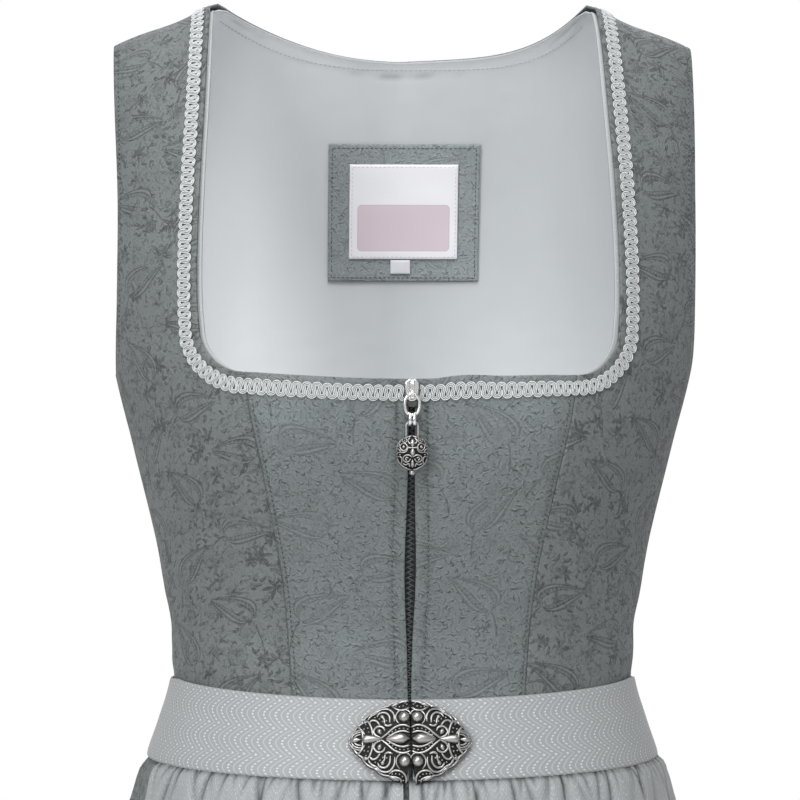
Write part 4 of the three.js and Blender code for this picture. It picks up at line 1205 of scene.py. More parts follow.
def skirt_rows(top, bottom):
    """Heights from the hem up, closer together near the waist, and one close to the hem."""
    z = mix(top, bottom, np.linspace(0, 1, ROWS_DOWN) ** 1.45)[::-1]
    return np.insert(z, 1, z[0] + 1.2)[:, None]


def skirt_half(first, last, node, seed):
    """Half of the skirt, from one column of the folds to another."""
    z = skirt_rows(SKIRT_TOP, HEM)
    column = np.linspace(first, last, (last - first) * 5 + 1)
    under = np.abs((column + SKIRT_COLUMNS / 2) % SKIRT_COLUMNS - SKIRT_COLUMNS / 2) < 22.4
    down = np.maximum(0, -391 - z)
    deep = along(TUCKS, z, "deep") * (1 - np.exp(-down / 2.2)) * np.where(under, 0.15, 1)
    out, _ = tucks(((column - first) * COLUMN_WIDTH)[None, :], down, 11.0, seed)
    offset = smooth_between(skirt_offsets(z), column) + deep * out
    turn = skirt_turn(column[None, :], z)
    turn[:, 0] = nudge(turn[:, 0], z[:, 0], SEAM_HALF)
    turn[:, -1] = nudge(turn[:, -1], z[:, 0], -SEAM_HALF)
    edge = np.minimum(column - first, last - column) * 7
    offset = offset - 0.4 * np.exp(-edge / 1.5)[None, :]
    hem = 0.5 * bump_at(z - HEM, 32, 1.6)
    outer = off_figure(turn, z, offset + SKIRT_CLOTH - hem)
    inner = off_figure(turn, z, offset - hem * 0.5)
    cloth = cloth_grid(outer, reference_row=outer.shape[0] // 2)
    piece = dressed(shell(node + "_cloth", inner, outer, JACQUARD_SIDE_SHADED, cloth), node)


def apron_half(half, node, seed):
    """Half of the apron, on the skirt's folds and with gathers of its own."""
    z = skirt_rows(APRON_TOP, APRON_HEM)
    across = np.linspace(0, 1, int(half["last"] - 1) * 11)
    across = np.insert(across, [1, 1], [across[1] * 0.1, across[1] * 0.35])
    column_width = along(FIGURE, z, "front") * TURN / SKIRT_COLUMNS
    first = along(APRON_EDGE, z, half["edge"]) / column_width
    position = mix(first, float(half["last"]), across[None, :])
    turned = half["side"] * position / SKIRT_COLUMNS * TURN
    near_top = np.clip(1 - (APRON_TOP - z) / 40, 0, 1)
    z = z + APRON_TOP_RISE * (1 - np.cos(turned)) * near_top
    height = z[:, :1]
    folds = skirt_offsets(height)
    gather_count = 2 * math.ceil(half["last"]) + 2
    index = np.arange(gather_count)[None, :]
    lean = np.where(index % FOLD_COLUMNS == 1, 1, 0.8)
    out = along(GATHERS, height, "depth") * mix(0.45, 1, uneven(index // FOLD_COLUMNS, 2.1)) * lean
    to_end = np.clip((half["last"] - index / 2) / 4, 0, 1)
    gathers = np.where(index % FOLD_COLUMNS == 0, 0, out * mix(0.5, 1, to_end))
    column = half["side"] * position
    places = np.clip(position * 2, 0, gather_count - 2.01)
    offset = np.zeros(position.shape)
    for row in range(len(z)):
        offset[row] = smooth_between(folds[row : row + 1], column[row])[0]
        offset[row] += smooth_between(gathers[row : row + 1], places[row])[0]
    down = np.maximum(0, BAND["bottom"] + band_dip(turned) - z)
    out, dark = tucks((position - position.min()) * COLUMN_WIDTH, down, 10.5, seed)
    offset = offset + along(TUCKS, z, "deep") * (1 - np.exp(-down / 2.2)) * out
    lift = SKIRT_CLOTH + along(GATHERS, z, "gap")
    hem = 0.4 * bump_at(z - APRON_HEM, 40, 1.4)
    turn = skirt_turn(column, z)
    outer = off_figure(turn, z, offset + lift + 1.0 - hem)
    inner = off_figure(turn, z, offset + lift - hem * 0.5)
    cloth = cloth_grid(outer, reference_row=outer.shape[0] * 2 // 3)
    fading = np.clip(1 - (-400 - z) / 120, 0.25, 1)
    # Painted shade in the gathers' creases and a painted shadow under the band.
    marks = {"hollow": np.clip(dark * fading + 0.75 * np.exp(-down / 0.9), 0, 1)}
    piece = dressed(shell(node + "_cloth", inner, outer, APRON_SATIN, cloth, marks), node)


BAND = {
    "top": -349.5,
    "bottom": -388.5,
    "dip": 4.5,
    "lift": 2.0,
    "gap": 1.0,
    "cloth": 1.5,
    "from_axis": 98,
}
BAND_SEAMS = (-35.7, 33.7)


def band_dip(turn):
    return -BAND["dip"] * np.maximum(0, np.cos(turn))


def band_rise(turn):
    """How much straighter the band's top edge runs to the sides than its lower edge."""
    front = np.maximum(0, np.cos(turn))
    return 4.6 * (1 - front) ** 1.2 * np.minimum(1, front / 0.25)


def band():
    """The apron's band: two layers, soft at its edges, with a seam each side of the clasp."""
    opening = math.asin(BAND["gap"] / BAND["from_axis"])
    tall = BAND["top"] - BAND["bottom"]
    turn = mix(opening, TURN - opening, shares(350, 760))[None, :]
    up = shares(22, tall)[:, None]
    level = mix(BAND["bottom"], BAND["top"] + band_rise(turn), up) + band_dip(turn)
    from_edge = np.minimum(up, 1 - up) * tall
    base = figure(turn, level)
    x, z = base[..., 0], base[..., 2]
    relief = -0.45 * np.exp(-from_edge / 1.2) + 0.18 * ripples(x, z * 0.6, 34, 1.1)
    for seam in BAND_SEAMS:
        relief = relief - 0.35 * bump_at(x, seam, 0.7) * np.where(base[..., 1] < 0, 1, 0)
    outer = off_figure(turn, level, BAND["lift"] + BAND["cloth"] + relief)
    inner = off_figure(turn, level, np.full_like(level, BAND["lift"]))
    cloth = cloth_grid(outer, reference_row=outer.shape[0] // 2)
    piece = dressed(shell("apron_band_cloth", inner, outer, BAND_SATIN, cloth), "apron_band")


# Lines of small things: tubes, stitches and beads.


def tube_mesh(path, radius, normals, sides=6, closed=False):
    """Points and faces of a round tube along a path, its frame set by the normals."""
    count = len(path)
    ahead = unit(np.roll(path, -1, 0) - np.roll(path, 1, 0) if closed else np.gradient(path, axis=0))
    side = unit(np.cross(ahead, normals))
    up = np.cross(side, ahead)
    angles = (np.arange(sides) / sides * TURN)[None, :, None]
    radius = np.broadcast_to(np.asarray(radius, float), (count,))[:, None, None]
    rings = path[:, None] + radius * (np.cos(angles) * up[:, None] + np.sin(angles) * side[:, None])
    index = ring_grid(count, sides)
    if closed:
        return rings.reshape(-1, 3), list(map(tuple, quads(np.concatenate([index, index[:1]]))))
    ends = [tuple(index[0, :-1])[::-1], tuple(index[-1, :-1])]
    return rings.reshape(-1, 3), list(map(tuple, quads(index))) + ends


def joined(parts):
    """Several lists of points and faces as one."""
    points, faces, start = [], [], 0
    for part_points, part_faces in parts:
        points.append(part_points)
        faces.extend(tuple(i + start for i in face) for face in part_faces)
        start += len(part_points)
    return np.concatenate(points), faces


def evenly(path, spacing):
    """Even places along a path, and the length from its start to each of its points."""
    run = run_along(path)
    count = max(2, int(run[-1] / spacing))
    return (np.arange(count) + 0.5) * run[-1] / count, run


def sampled(values, run, at):
    return np.stack([np.interp(at, run, values[:, k]) for k in range(values.shape[1])], 1)


def stitch_line(path, normals, pitch=2.6, length=1.9, radius=0.2):
    """Separate stitches along a path that lies on the cloth."""
    at, run = evenly(path, pitch)
    parts = []
    bend = np.array([-0.5, -0.28, 0.0, 0.28, 0.5])
    sink = np.array([1.0, 0.25, 0.0, 0.25, 1.0])
    for place in at:
        here = np.clip(place + bend * length, 0, run[-1])
        points = sampled(path, run, here)
        up = sampled(normals, run, here)
        points = points - up * (sink * radius * 1.1)[:, None]
        parts.append(tube_mesh(points, radius * np.array([0.5, 0.95, 1, 0.95, 0.5]), up, sides=5))
    return joined(parts)


def surface_line(x, z, distance, behind=False):
    """A path on the cloth through places seen from the front, with its normals."""
    x, z = np.asarray(x, float), np.asarray(z, float)
    level = level_of(z)
    turn = turn_at(x, z, behind)
    return off_figure(turn, level, distance), outward(turn, level)


def flipped(parts, axis, centre=0.0):
    """The parts mirrored across a plane at centre on an axis."""
    made = []
    for points, faces, *rest in parts:
        other = points.copy()
        other[:, axis] = 2 * centre - other[:, axis]
        made.append((other, [face[::-1] for face in faces], *rest))
    return made


def both_sides(parts):
    """The parts with their mirror images."""
    return parts + flipped(parts, 0)


# The braid beside the neckline.
BRAID_PLACE = table("z width inset", (-191, 8.2, 2.9), (-160, 8.2, 1.7), (-100, 8.2, 1.5), (0, 7.8, 1.5))
BRAID_PITCH = 5.0
BRAID_SWING = 0.86
BRAID_STRANDS = (-0.78, 0.0, 0.78)
BRAID_RADIUS = 0.3


def braid_middle(z):
    """How far the braid's middle line is from the neckline."""
    return along(BRAID_PLACE, z, "inset") + 0.5 * along(BRAID_PLACE, z, "width")


def braid_centre():
    """The braid's middle line on the cloth at the wearer's left, from the zip on."""
    bottom, corner = (braid_middle(np.array([z]))[0] for z in (NECK_BOTTOM, CORNER["z"]))
    straight_x = np.linspace(4.0, CORNER["x"], 60)
    places = [np.stack([straight_x, front_neck_z(straight_x) - bottom], 1)]
    angle = np.linspace(0, np.pi / 2, 40)[1:]
    radius = CORNER["radius"] + mix(bottom, corner, angle / angle[-1])
    places.append(np.stack([CORNER["x"] + radius * np.sin(angle), CORNER["z"] - radius * np.cos(angle)], 1))
    strap_z = np.linspace(CORNER["z"] + 3, -0.3, 120)
    places.append(np.stack([neck_x(strap_z) + braid_middle(strap_z), strap_z], 1))
    places = np.concatenate(places)
    level = np.minimum(level_of(places[:, 1]), TOP_LEVEL)
    turn = turn_at(places[:, 0], places[:, 1])
    width = along(BRAID_PLACE, places[:, 1], "width")
    return off_figure(turn, level, SHELL + 0.65), outward(turn, level), width


def braid(node, flip):
    """Three strands side by side that wind from edge to edge in round loops."""
    path, normals, width = braid_centre()
    if flip:
        path, normals = mirrored(path), mirrored(normals)
    run = run_along(path)
    loops = int(run[-1] / BRAID_PITCH)
    pitch = run[-1] / loops
    theta = np.linspace(0, TURN * loops, loops * 28)
    reach = np.interp(pitch * theta / TURN, run, width) / 2 - BRAID_RADIUS - BRAID_STRANDS[-1]
    ahead_place = pitch * theta / TURN + BRAID_SWING * np.sin(2 * theta)
    beside_place = reach * np.cos(theta) * (1 + 0.05 * np.sin(theta * 0.37))
    moving = unit(np.stack([np.gradient(ahead_place), np.gradient(beside_place)], 1))
    directions = np.gradient(path, axis=0)
    parts = []
    for number, apart in enumerate(BRAID_STRANDS):
        at = np.clip(ahead_place - moving[:, 1] * apart, 0, run[-1])
        up = unit(sampled(normals, run, at))
        beside = np.cross(up, unit(sampled(directions, run, at)))
        sideways = beside_place + moving[:, 0] * apart
        lifted = 0.18 * np.cos(theta * 2 + number * 1.7) + 0.22 * np.sin(theta)
        place = sampled(path, run, at) + beside * sideways[:, None] + up * lifted[:, None]
        parts.append(wire_part(place, up, BRAID_RADIUS, sides=6))
    metal_piece(node + "_loops", parts, BRAID, "dress", node)


# The zip.
ZIP = {"half": 11.5, "inside": -2.2, "outside": -1.4, "top": -197.0, "tooth": 1.3}


def zip_tape():
    z = mix(WAIST, ZIP["top"], shares(90, 173))[:, None]
    x = mix(-ZIP["half"], ZIP["half"], shares(20, 23))[None, :] + z * 0
    turn = turn_at(x, z)
    inner, outer = (off_figure(turn, z, ZIP[face]) for face in ("inside", "outside"))
    piece = dressed(shell("zip_tape", inner, outer, TAPE), "zip")


def zip_teeth():
    """The coil's turns, from both tapes in turn."""
    parts = []
    count = int((ZIP["top"] - WAIST) / ZIP["tooth"])
    for i in range(count):
        z = WAIST + (i + 0.5) * ZIP["tooth"]
        lean = 1 if i % 2 else -1
        x = np.array([-2.3, -1.5, -0.6, 0.3, 0.8]) * lean
        path, normals = surface_line(x, z + np.array([-0.9, -0.5, -0.05, 0.4, 0.5]), -0.95)
        radius = np.array([0.3, 0.36, 0.4, 0.4, 0.3])
        parts.append(tube_mesh(path, radius, normals, sides=6))
    points, faces = joined(parts)
    return dressed(mesh_piece("zip_teeth", points, faces, TEETH), None)


# The labels inside the back.
LABELS = {
    "label_patch": {"x": 4, "width": 83, "top": -65.2, "bottom": -139.4, "offset": -5.0},
    "label_woven": {"x": 4, "width": 60, "top": -75.5, "bottom": -127.0, "offset": -6.5},
    "label_tag": {"x": 2.5, "width": 11, "top": -127.6, "bottom": -135.2, "offset": -6.5},
}


def behind_place(x, z):
    """The turn and level inside the back at a place seen from the front."""
    climb = np.arcsin(np.clip((z - ARMPIT) / (ridge_z(x) - ARMPIT), 0, 1))
    level = ARMPIT - ARMPIT * climb
    near = turn_at(x, height_of(level), True)
    return np.where(np.abs(x) < 1e-9, np.pi, near), level


def label(node, material, count):
    size = LABELS[node]
    width, tall = size["width"], size["top"] - size["bottom"]
    x = size["x"] + width * (shares(count, width, 0.5)[None, :] - 0.5)
    z = mix(size["bottom"], size["top"], shares(count, tall, 0.5))[:, None]
    x, z = np.broadcast_arrays(x, z)
    turn, level = behind_place(x, z)
    from_edge = np.minimum.reduce([x - x.min(), x.max() - x, z - z.min(), z.max() - z])
    relief = 0.12 * ripples(x, z, 24, 2.3) + 0.35 * np.exp(-from_edge / 0.7)
    inner = off_figure(turn, level, size["offset"] + relief)
    outer = off_figure(turn, level, size["offset"] + 1.0)
    cloth = np.stack([x - size["x"], z - (size["top"] + size["bottom"]) / 2], -1)
    return dressed(shell(node + "_cloth", inner, outer, material, cloth), node)


def labels():
    """The patch, the woven label on it and the small tag under that."""
    patch = label("label_patch", JACQUARD_PATCH_PAINTED_LIGHT, 30)
    woven = label("label_woven", WHITE_LABEL, 24)
    tag = label("label_tag", PLAIN_LABEL, 8)


def rectangle(node, inset):
    """The corners' loop of a label, inset, as places seen from the front."""
    size = LABELS[node]
    left, right = size["x"] - size["width"] / 2 + inset, size["x"] + size["width"] / 2 - inset
    low, high = size["bottom"] + inset, size["top"] - inset
    corners = [(left, low), (right, low), (right, high), (left, high), (left, low)]
    sides = []
    for (x0, z0), (x1, z1) in zip(corners, corners[1:]):
        share = np.linspace(0, 1, 30)
        sides.append((mix(x0, x1, share), mix(z0, z1, share)))
    return sides


def sew(name, parts, material):
    points, faces = joined(parts)
    dressed(mesh_piece(name, points, faces, material), None)


def inner_stitches(x, z, distance, *sizes):
    """Stitches inside the back, through places seen from the front."""
    turn, level = behind_place(x, z)
    return stitch_line(off_figure(turn, level, distance), -outward(turn, level), *sizes)


def sewing():
    """Every line of visible stitches."""
    z = np.linspace(-366, -193.5, 150)
    z_zip = np.linspace(-352, -207, 150)
    z_arm = np.linspace(-186, -4, 150)
    x_arm = along(ARMHOLE, z_arm, "x") - 3.0
    lines = [
        surface_line(along(PRINCESS_SEAM, z, "x") - 2.2, z, SHELL),
        surface_line(along(ZIP_SLIT, z_zip, "x") + ZIP_STITCH, z_zip, SHELL - 0.15),
        surface_line(x_arm, z_arm, SHELL - 0.02),
        surface_line(x_arm, z_arm, SHELL - 0.02, True),
    ]
    threads = [stitch_line(path, up, 2.6, 1.7, 0.22) for path, up in lines]
    sew("bodice_stitches", both_sides(threads), CLOTH_THREAD)
    # Dark dashes at the needle holes: painted shade.
    hole_shade = [stitch_line(path[5:] + up[5:] * 0.03, up[5:], 2.6, 1.0, 0.34) for path, up in lines]
    sew("bodice_needle_hole_shade", both_sides(hole_shade), DARK_THREAD)
    x_neck = np.linspace(-96, 96, 160)
    neck = inner_stitches(x_neck, back_neck_z(x_neck) - 2.4, LINING_IN - 0.3, 2.6, 1.7, 0.26)
    z_side = np.linspace(-165, -3, 120)
    x_side = neck_x(z_side) - LINING_SHOWS + 1.0
    side = [stitch_line(*surface_line(x_side, z_side, LINING_OUT + 0.1), 2.2, 1.5, 0.2)]
    sew("lining_stitches", [neck] + both_sides(side), LINING_THREAD)
    for name, node, inset, sizes, material, slot in [
        ("patch_stitches", "label_patch", 1.9, (2.5, 1.8, 0.22), DARK_THREAD, "jacquard"),
        ("label_stitches", "label_woven", 1.3, (2.3, 1.5, 0.18), PALE_THREAD, "label_cloth"),
    ]:
        distance = LABELS[node]["offset"] - 0.05
        edges = [inner_stitches(x, z, distance, *sizes) for x, z in rectangle(node, inset)]
        sew(name, edges, material)


# Metalwork. Each part is points, faces and how much of a hollow each point lies in,
# which is dark patina on the old silver and painted shade on the braid.


def smooth_path(places, count):
    """A smooth line through a few places."""
    places = np.array(places, float)
    padded = np.concatenate([[2 * places[0] - places[1]], places, [2 * places[-1] - places[-2]]])
    at = np.linspace(0, len(places) - 1, count)
    low = np.minimum(at.astype(int), len(places) - 2)
    return smooth_step(*(padded[low + k] for k in range(4)), (at - low)[:, None])


def wire_part(path, up, radius, sides=8):
    """A wire on the metal or the braid, dark along its foot: patina on the old silver,
    painted shade on the braid.
    """
    points, faces = tube_mesh(path, radius, up, sides=sides)
    angle = np.arange(sides) / sides * TURN
    return points, faces, np.tile(np.clip(0.45 - 0.8 * np.cos(angle), 0, 1), len(path))


def ball_part(centre, up, radius, columns=12, rows=8):
    """A round bead or boss, dark round its foot."""
    centre, up = np.asarray(centre, float), np.asarray(up, float)
    side = unit(np.cross(up, [0.0, 0.0, 1.0]))
    third = np.cross(up, side)
    lift = np.linspace(-np.pi / 2, np.pi / 2, rows + 1)[1:-1, None, None]
    angle = (np.arange(columns) / columns * TURN)[None, :, None]
    rings = np.cos(lift) * (np.cos(angle) * side + np.sin(angle) * third) + np.sin(lift) * up
    points = np.concatenate([rings.reshape(-1, 3), [-up], [up]])
    index = ring_grid(rows - 1, columns)
    faces = list(map(tuple, quads(index)))
    low, high = len(points) - 2, len(points) - 1
    for k in range(columns):
        faces.append((index[0, k + 1], index[0, k], low))
        faces.append((index[-1, k], index[-1, k + 1], high))
    return centre + points * radius, faces, np.clip(0.35 - 1.1 * points @ up, 0, 1)


def metal_piece(name, parts, material, body, node=None):
    points, faces = joined([part[:2] for part in parts])
    hollow = np.concatenate([part[2] for part in parts])
    return dressed(mesh_piece(name, points, faces, material, marks={"hollow": hollow}), node, body)


# The clasp's outline is a pointed oval, and its reliefs lie on a dome. Places are from
# the clasp's centre: towards its end, and up.
CLASP = {"half": 29.2, "up": 20.2, "power": 1.64, "gap": 0.4, "dome": 5.2, "rim": 1.2, "z": -374.9}
CLASP_END = {"x": 23.4, "radius": 6.1}
CLASP_FOOT = 4.0
CLASP_SCALLOP = 0.035
CLASP_SCALLOPS = 9.5


def scallop(angle):
    """How deep the outline is notched between its scallops."""
    return CLASP_SCALLOP * (1 - np.abs(np.sin(CLASP_SCALLOPS * angle)))


def clasp_reach(angle):
    """The outline's distance from the clasp's centre: a pointed oval with a round end."""
    c, s = np.abs(np.cos(angle)), np.abs(np.sin(angle))
    power = CLASP["power"]
    oval = ((c / CLASP["half"]) ** power + (s / CLASP["up"]) ** power) ** (-1 / power)
    inside = CLASP_END["radius"] ** 2 - (CLASP_END["x"] * s) ** 2
    end = np.where(inside > 0, CLASP_END["x"] * c + np.sqrt(np.maximum(0, inside)), 0)
    return np.maximum(oval, end)


def clasp_dome(x, z):
    share = np.minimum(1, np.hypot(x, z) / clasp_reach(np.arctan2(z, np.abs(x))))
    return CLASP["rim"] + CLASP["dome"] * np.sqrt(1 - share**2.2)


def on_clasp(places, rise):
    """Points over the clasp's dome and the directions out of it."""
    places = np.asarray(places, float)
    x, z = places[:, 0], places[:, 1]
    level = CLASP["z"] + z
    turn = turn_at(x, level)
    height = CLASP_FOOT + clasp_dome(x, z) + rise
    return off_figure(turn, level, height), outward(turn, level)


def clasp_wire(places, radius=0.5, rise=0.35, count=20):
    path, up = on_clasp(smooth_path(places, count), rise)
    taper = np.minimum(1, 0.55 + 3 * np.minimum(np.linspace(0, 1, count), np.linspace(1, 0, count)))
    return wire_part(path, up, radius * taper)


def clasp_drop(start, end, radius, rise, widest=0.35):
    """A long drop, thickest at a share of its length."""
    share = np.linspace(0.0, 1.0, 15)
    rising = np.sin(share / widest * np.pi / 2)
    falling = np.cos((share - widest) / (1 - widest) * np.pi / 2) ** 0.85
    swell = np.where(share < widest, rising, falling)
    path, up = on_clasp(mix(np.array(start, float), np.array(end, float), share[:, None]), rise)
    return wire_part(path, up, radius * np.maximum(0.08, swell), sides=14)


def clasp_bead(x, z, radius=0.5, rise=0.2):
    place, up = on_clasp([(x, z)], rise)
    return ball_part(place[0], up[0], radius, columns=8, rows=6)


def arc(centre, half_wide, half_tall, start, end, count=7):
    """Places along an oval arc, from one angle to another in degrees."""
    angle = np.radians(np.linspace(start, end, count))
    return np.stack([centre[0] + half_wide * np.cos(angle), centre[1] + half_tall * np.sin(angle)], 1)


# Wires that show above and below the clasp's middle line alike, as places.
CLASP_SCROLLS = [
    [(0.3, 5.7), (2.8, 6.7), (5.6, 6.5), (8.6, 5.0), (11.5, 2.4), (14.4, 0.1)],
    [(0.6, 3.1), (3.5, 3.8), (6.5, 3.3), (9.2, 1.9), (11.8, 0.1)],
    [(14.0, 0.6), (16.8, 1.9), (17.6, 4.2), (15.7, 6.2), (13.2, 5.7), (12.3, 4.0)],
    [(18.0, 1.6), (18.6, 5.2), (20.2, 8.4), (23.2, 9.4)],
    [(21.8, 2.4), (23.6, 5.0), (25.6, 6.8)],
    [(24.8, 6.6), (23.1, 3.4), (22.8, 0.0)],
    [(7.8, 8.4), (8.0, 11.8), (10.4, 14.6), (14.0, 14.6), (16.8, 12.2)],
    [(9.9, 7.8), (10.2, 11.0), (12.2, 13.0), (14.8, 12.6), (16.0, 10.8)],
    [(12.4, 7.4), (12.8, 9.8), (14.4, 11.2)],
    [(14.6, 6.8), (16.4, 8.8), (18.4, 9.2), (19.6, 8.0)],
    [(16.4, 12.6), (18.6, 11.6), (20.4, 9.6)],
    [(8.8, 7.0), (11.0, 6.4), (12.6, 7.2)],
]
CLASP_BEADS = [
    *[(1.5, 4.8), (3.4, 5.2), (5.4, 5.1), (7.2, 4.4), (8.8, 3.4), (10.3, 2.2), (20.0, 3.6)],
    *[(20.4, 5.6), (21.4, 7.4), (22.2, 5.2), (13.4, 8.6), (14.8, 9.8), (11.6, 8.8), (17.0, 10.6)],
]
CLASP_DROPS = [
    ((14.2, 2.2), (15.6, 5.4), 1.15, 0.2),
    ((14.2, 14.9), (18.6, 12.4), 0.8, 0.2),
    ((12.6, 10.0), (14.2, 12.0), 0.8, 0.1),
    ((19.8, 9.4), (23.0, 7.8), 0.7, 0.1),
]
# The scrolls and beads by the middle of the clasp, above and below.
CLASP_EARS = [
    {
        "rim": [(0.5, 19.4), (4.4, 18.6), (8.8, 16.4)],
        "low": [(0.5, 15.6), (3.2, 14.0), (6.2, 14.4), (8.8, 16.2)],
        "beads": [(1.6, 17.4), (3.4, 16.4), (5.2, 16.0), (2.4, 18.2), (6.9, 16.0)],
        "drop": [(4.6, 18.2), (9.4, 16.4)],
    },
    {
        "rim": [(2.6, -20.0), (2.4, -17.4), (4.4, -15.0), (8.0, -14.4), (10.6, -15.8)],
        "low": [(4.8, -19.4), (5.0, -18.2), (7.4, -17.2), (9.6, -16.8)],
        "beads": [(3.8, -18.6), (4.2, -17.0), (5.6, -16.0), (7.4, -15.8), (9.0, -15.8)],
        "drop": [(5.6, -18.6), (10.8, -16.4)],
    },
]


def clasp_plate():
    """The clasp's ground: a dome on a flat back."""
    share = np.sin(np.linspace(0.02, 1, 26) * np.pi / 2)[:, None]
    angle = np.linspace(-np.pi / 2, np.pi / 2, 61)[None, :]
    reach = share * (1 - scallop(angle) * share) * clasp_reach(angle)
    z = reach * np.sin(angle)
    x = np.maximum(reach * np.cos(angle), CLASP["gap"] + np.maximum(0, -8 - z) * 0.17)
    level = CLASP["z"] + z
    turn = turn_at(x, level)
    outer = off_figure(turn, level, CLASP_FOOT + clasp_dome(x, z) - 0.25)
    inner = off_figure(turn, level, CLASP_FOOT + 0.0 * z)
    points, faces = wall(inner, outer)
    return points, list(map(tuple, faces)), np.full(len(points), 1.0)


def clasp_parts():
    """Half of the clasp, at the wearer's left."""
    parts = [clasp_plate()]
    for sign in (1, -1):
        for scroll in CLASP_SCROLLS:
            parts.append(clasp_wire([(x, sign * z) for x, z in scroll], 0.58))
        for x, z in CLASP_BEADS:
            parts.append(clasp_bead(x, sign * z, 0.48))
        for start, end, radius, rise in CLASP_DROPS:
            ends = [(x, sign * z) for x, z in (start, end)]
            parts.append(clasp_drop(*ends, radius, rise, 0.5))
        centre, up = on_clasp([(3.1, sign * 10.5)], 0.5)
        parts.append(ball_part(centre[0], up[0], 2.7, columns=20, rows=14))
        parts.append(clasp_wire(arc((3.2, sign * 10.5), 3.9, 3.9, -55, 160), 0.42, 0.1))
        angle = np.radians(sign * np.linspace(0.5, 80 if sign > 0 else 73, 110))
        reach = (0.975 - scallop(angle)) * clasp_reach(angle)
        rim = np.stack([reach * np.cos(angle), reach * np.sin(angle)], 1)
        parts.append(clasp_wire(rim, 0.55, 0.0, 150))
    parts.append(clasp_drop((0.6, 0), (12.0, 0), 2.5, 0.9))
    parts.append(clasp_drop((23.4, 0), (14.0, 0), 2.2, 0.7, 0.2))
    parts.append(clasp_drop((23.6, 0), (29.9, 0), 1.3, 0.5, 0.5))
    for size in (0.55, 0.8, 1.0):
        parts.append(clasp_wire(arc((24.2, 0), 5.2 * size, 4.7 * size, -100, 100, 11), 0.5, 0.2))
    for ear in CLASP_EARS:
        parts.append(clasp_wire(ear["rim"], 0.55, 0.2))
        parts.append(clasp_wire(ear["low"], 0.5, 0.3))
        parts.extend(clasp_bead(x, z, 0.45) for x, z in ear["beads"])
        parts.append(clasp_drop(*ear["drop"], 0.85, 0.3, 0.5))
    return parts


def clasp():
    left = clasp_parts()
    metal_piece("clasp_left_relief", left, OLD_SILVER, "dress", "clasp_left")
    metal_piece("clasp_right_relief", flipped(left, 0), OLD_SILVER, "dress", "clasp_right")


# The zip's slider, the link on its bridge and the charm on the link.
SLIDER = {"z": -200.0, "width": 7.4, "tall": 10.5, "thick": 2.2, "space": 2.5, "bar": 1.1}
PULL_Y = -121.861
LINK = {"top": -202.2, "half": 3.6, "tall": 10.0, "wire": 0.85}
EYE = {"z": -214.3, "deep": 2.15, "tall": 2.8, "wire": 0.84, "apart": 1.08}
CHARM = {
    "top": -215.75,
    "bail": 2.9,
    "drop": 7.0,
    "wire": 0.55,
    "z": -230.85,
    "half": 7.6,
    "tall": 8.5,
    "deep": 4.2,
}
# A slab's edge, and the inset and depth of each of its rings from the front to the back.
SLAB_EDGE = 0.55
SLAB_RINGS = [
    *[(2.6, 0), (1.2, 0), (SLAB_EDGE, 0), (0.15, 0.15), (0, SLAB_EDGE)],
    *[(0, 1 - SLAB_EDGE), (0.15, 0.85), (SLAB_EDGE, 1), (1.2, 1), (2.6, 1)],
]


def rounded(angle, power, half_a, half_b):
    """Places on the outline of a rounded rectangle, from a's end on."""
    c, s = np.cos(angle), np.sin(angle)
    return np.abs(c) ** (2 / power) * np.sign(c) * half_a, np.abs(s) ** (2 / power) * np.sign(s) * half_b


def slab(half_x, half_z, front, back, centre_z, power, taper=0.0):
    """A rounded plate across Y, with soft edges."""
    wide, tall = rounded(np.linspace(0, TURN, 41)[:-1], power, half_x, half_z)
    wide = wide * (1 - taper * (1 - tall / half_z) / 2)
    rings = []
    for inset, depth in SLAB_RINGS:
        shrink_x, shrink_z = 1 - inset * SLAB_EDGE / half_x, 1 - inset * SLAB_EDGE / half_z
        y = np.full_like(wide, mix(front, back, depth))
        rings.append(np.stack([wide * shrink_x, y, centre_z + tall * shrink_z], 1))
    index = ring_grid(len(rings), len(wide))
    ends = [tuple(index[0, :-1])[::-1], tuple(index[-1, :-1])]
    points = np.concatenate(rings)
    return points, list(map(tuple, quads(index))) + ends, np.zeros(len(points))


def slider():
    """The slider with its arched bridge."""
    face = PULL_Y + SLIDER["space"] / 2
    half_x, half_z = SLIDER["width"] / 2, SLIDER["tall"] / 2
    parts = [
        slab(half_x, half_z, face, face + SLIDER["thick"], SLIDER["z"], 3.2, 0.25),
        slab(2.3, 1.5, face - 0.7, face + 0.2, SLIDER["z"] - 4.0, 2.2),
    ]
    arch = [(0.3, 5.0), (-1.6, 4.9), (-3.1, 3.9), (-3.1, 0.0), (-3.1, -3.6), (-1.6, -4.4), (0.3, -4.5)]
    path = smooth_path([(0.0, face + y, SLIDER["z"] + z) for y, z in arch], 40)
    for x in (-0.55, 0.0, 0.55):
        parts.append(wire_part(path + np.array([x, 0, 0]), np.array([1.0, 0, 0]) + 0 * path, 0.52, 10))
    made = [(points, faces, hollow * 0) for points, faces, hollow in parts]
    metal_piece("zip_slider_body", made, SILVER, "dress", "zip_slider")
    points, faces, hollow = slab(2.9, 2.0, face + 0.2, face + 1.6, SLIDER["z"] - 6.6, 2.2)
    metal_piece("zip_slider_tab", [(points, faces, hollow + 0.75)], OLD_SILVER, "dress")


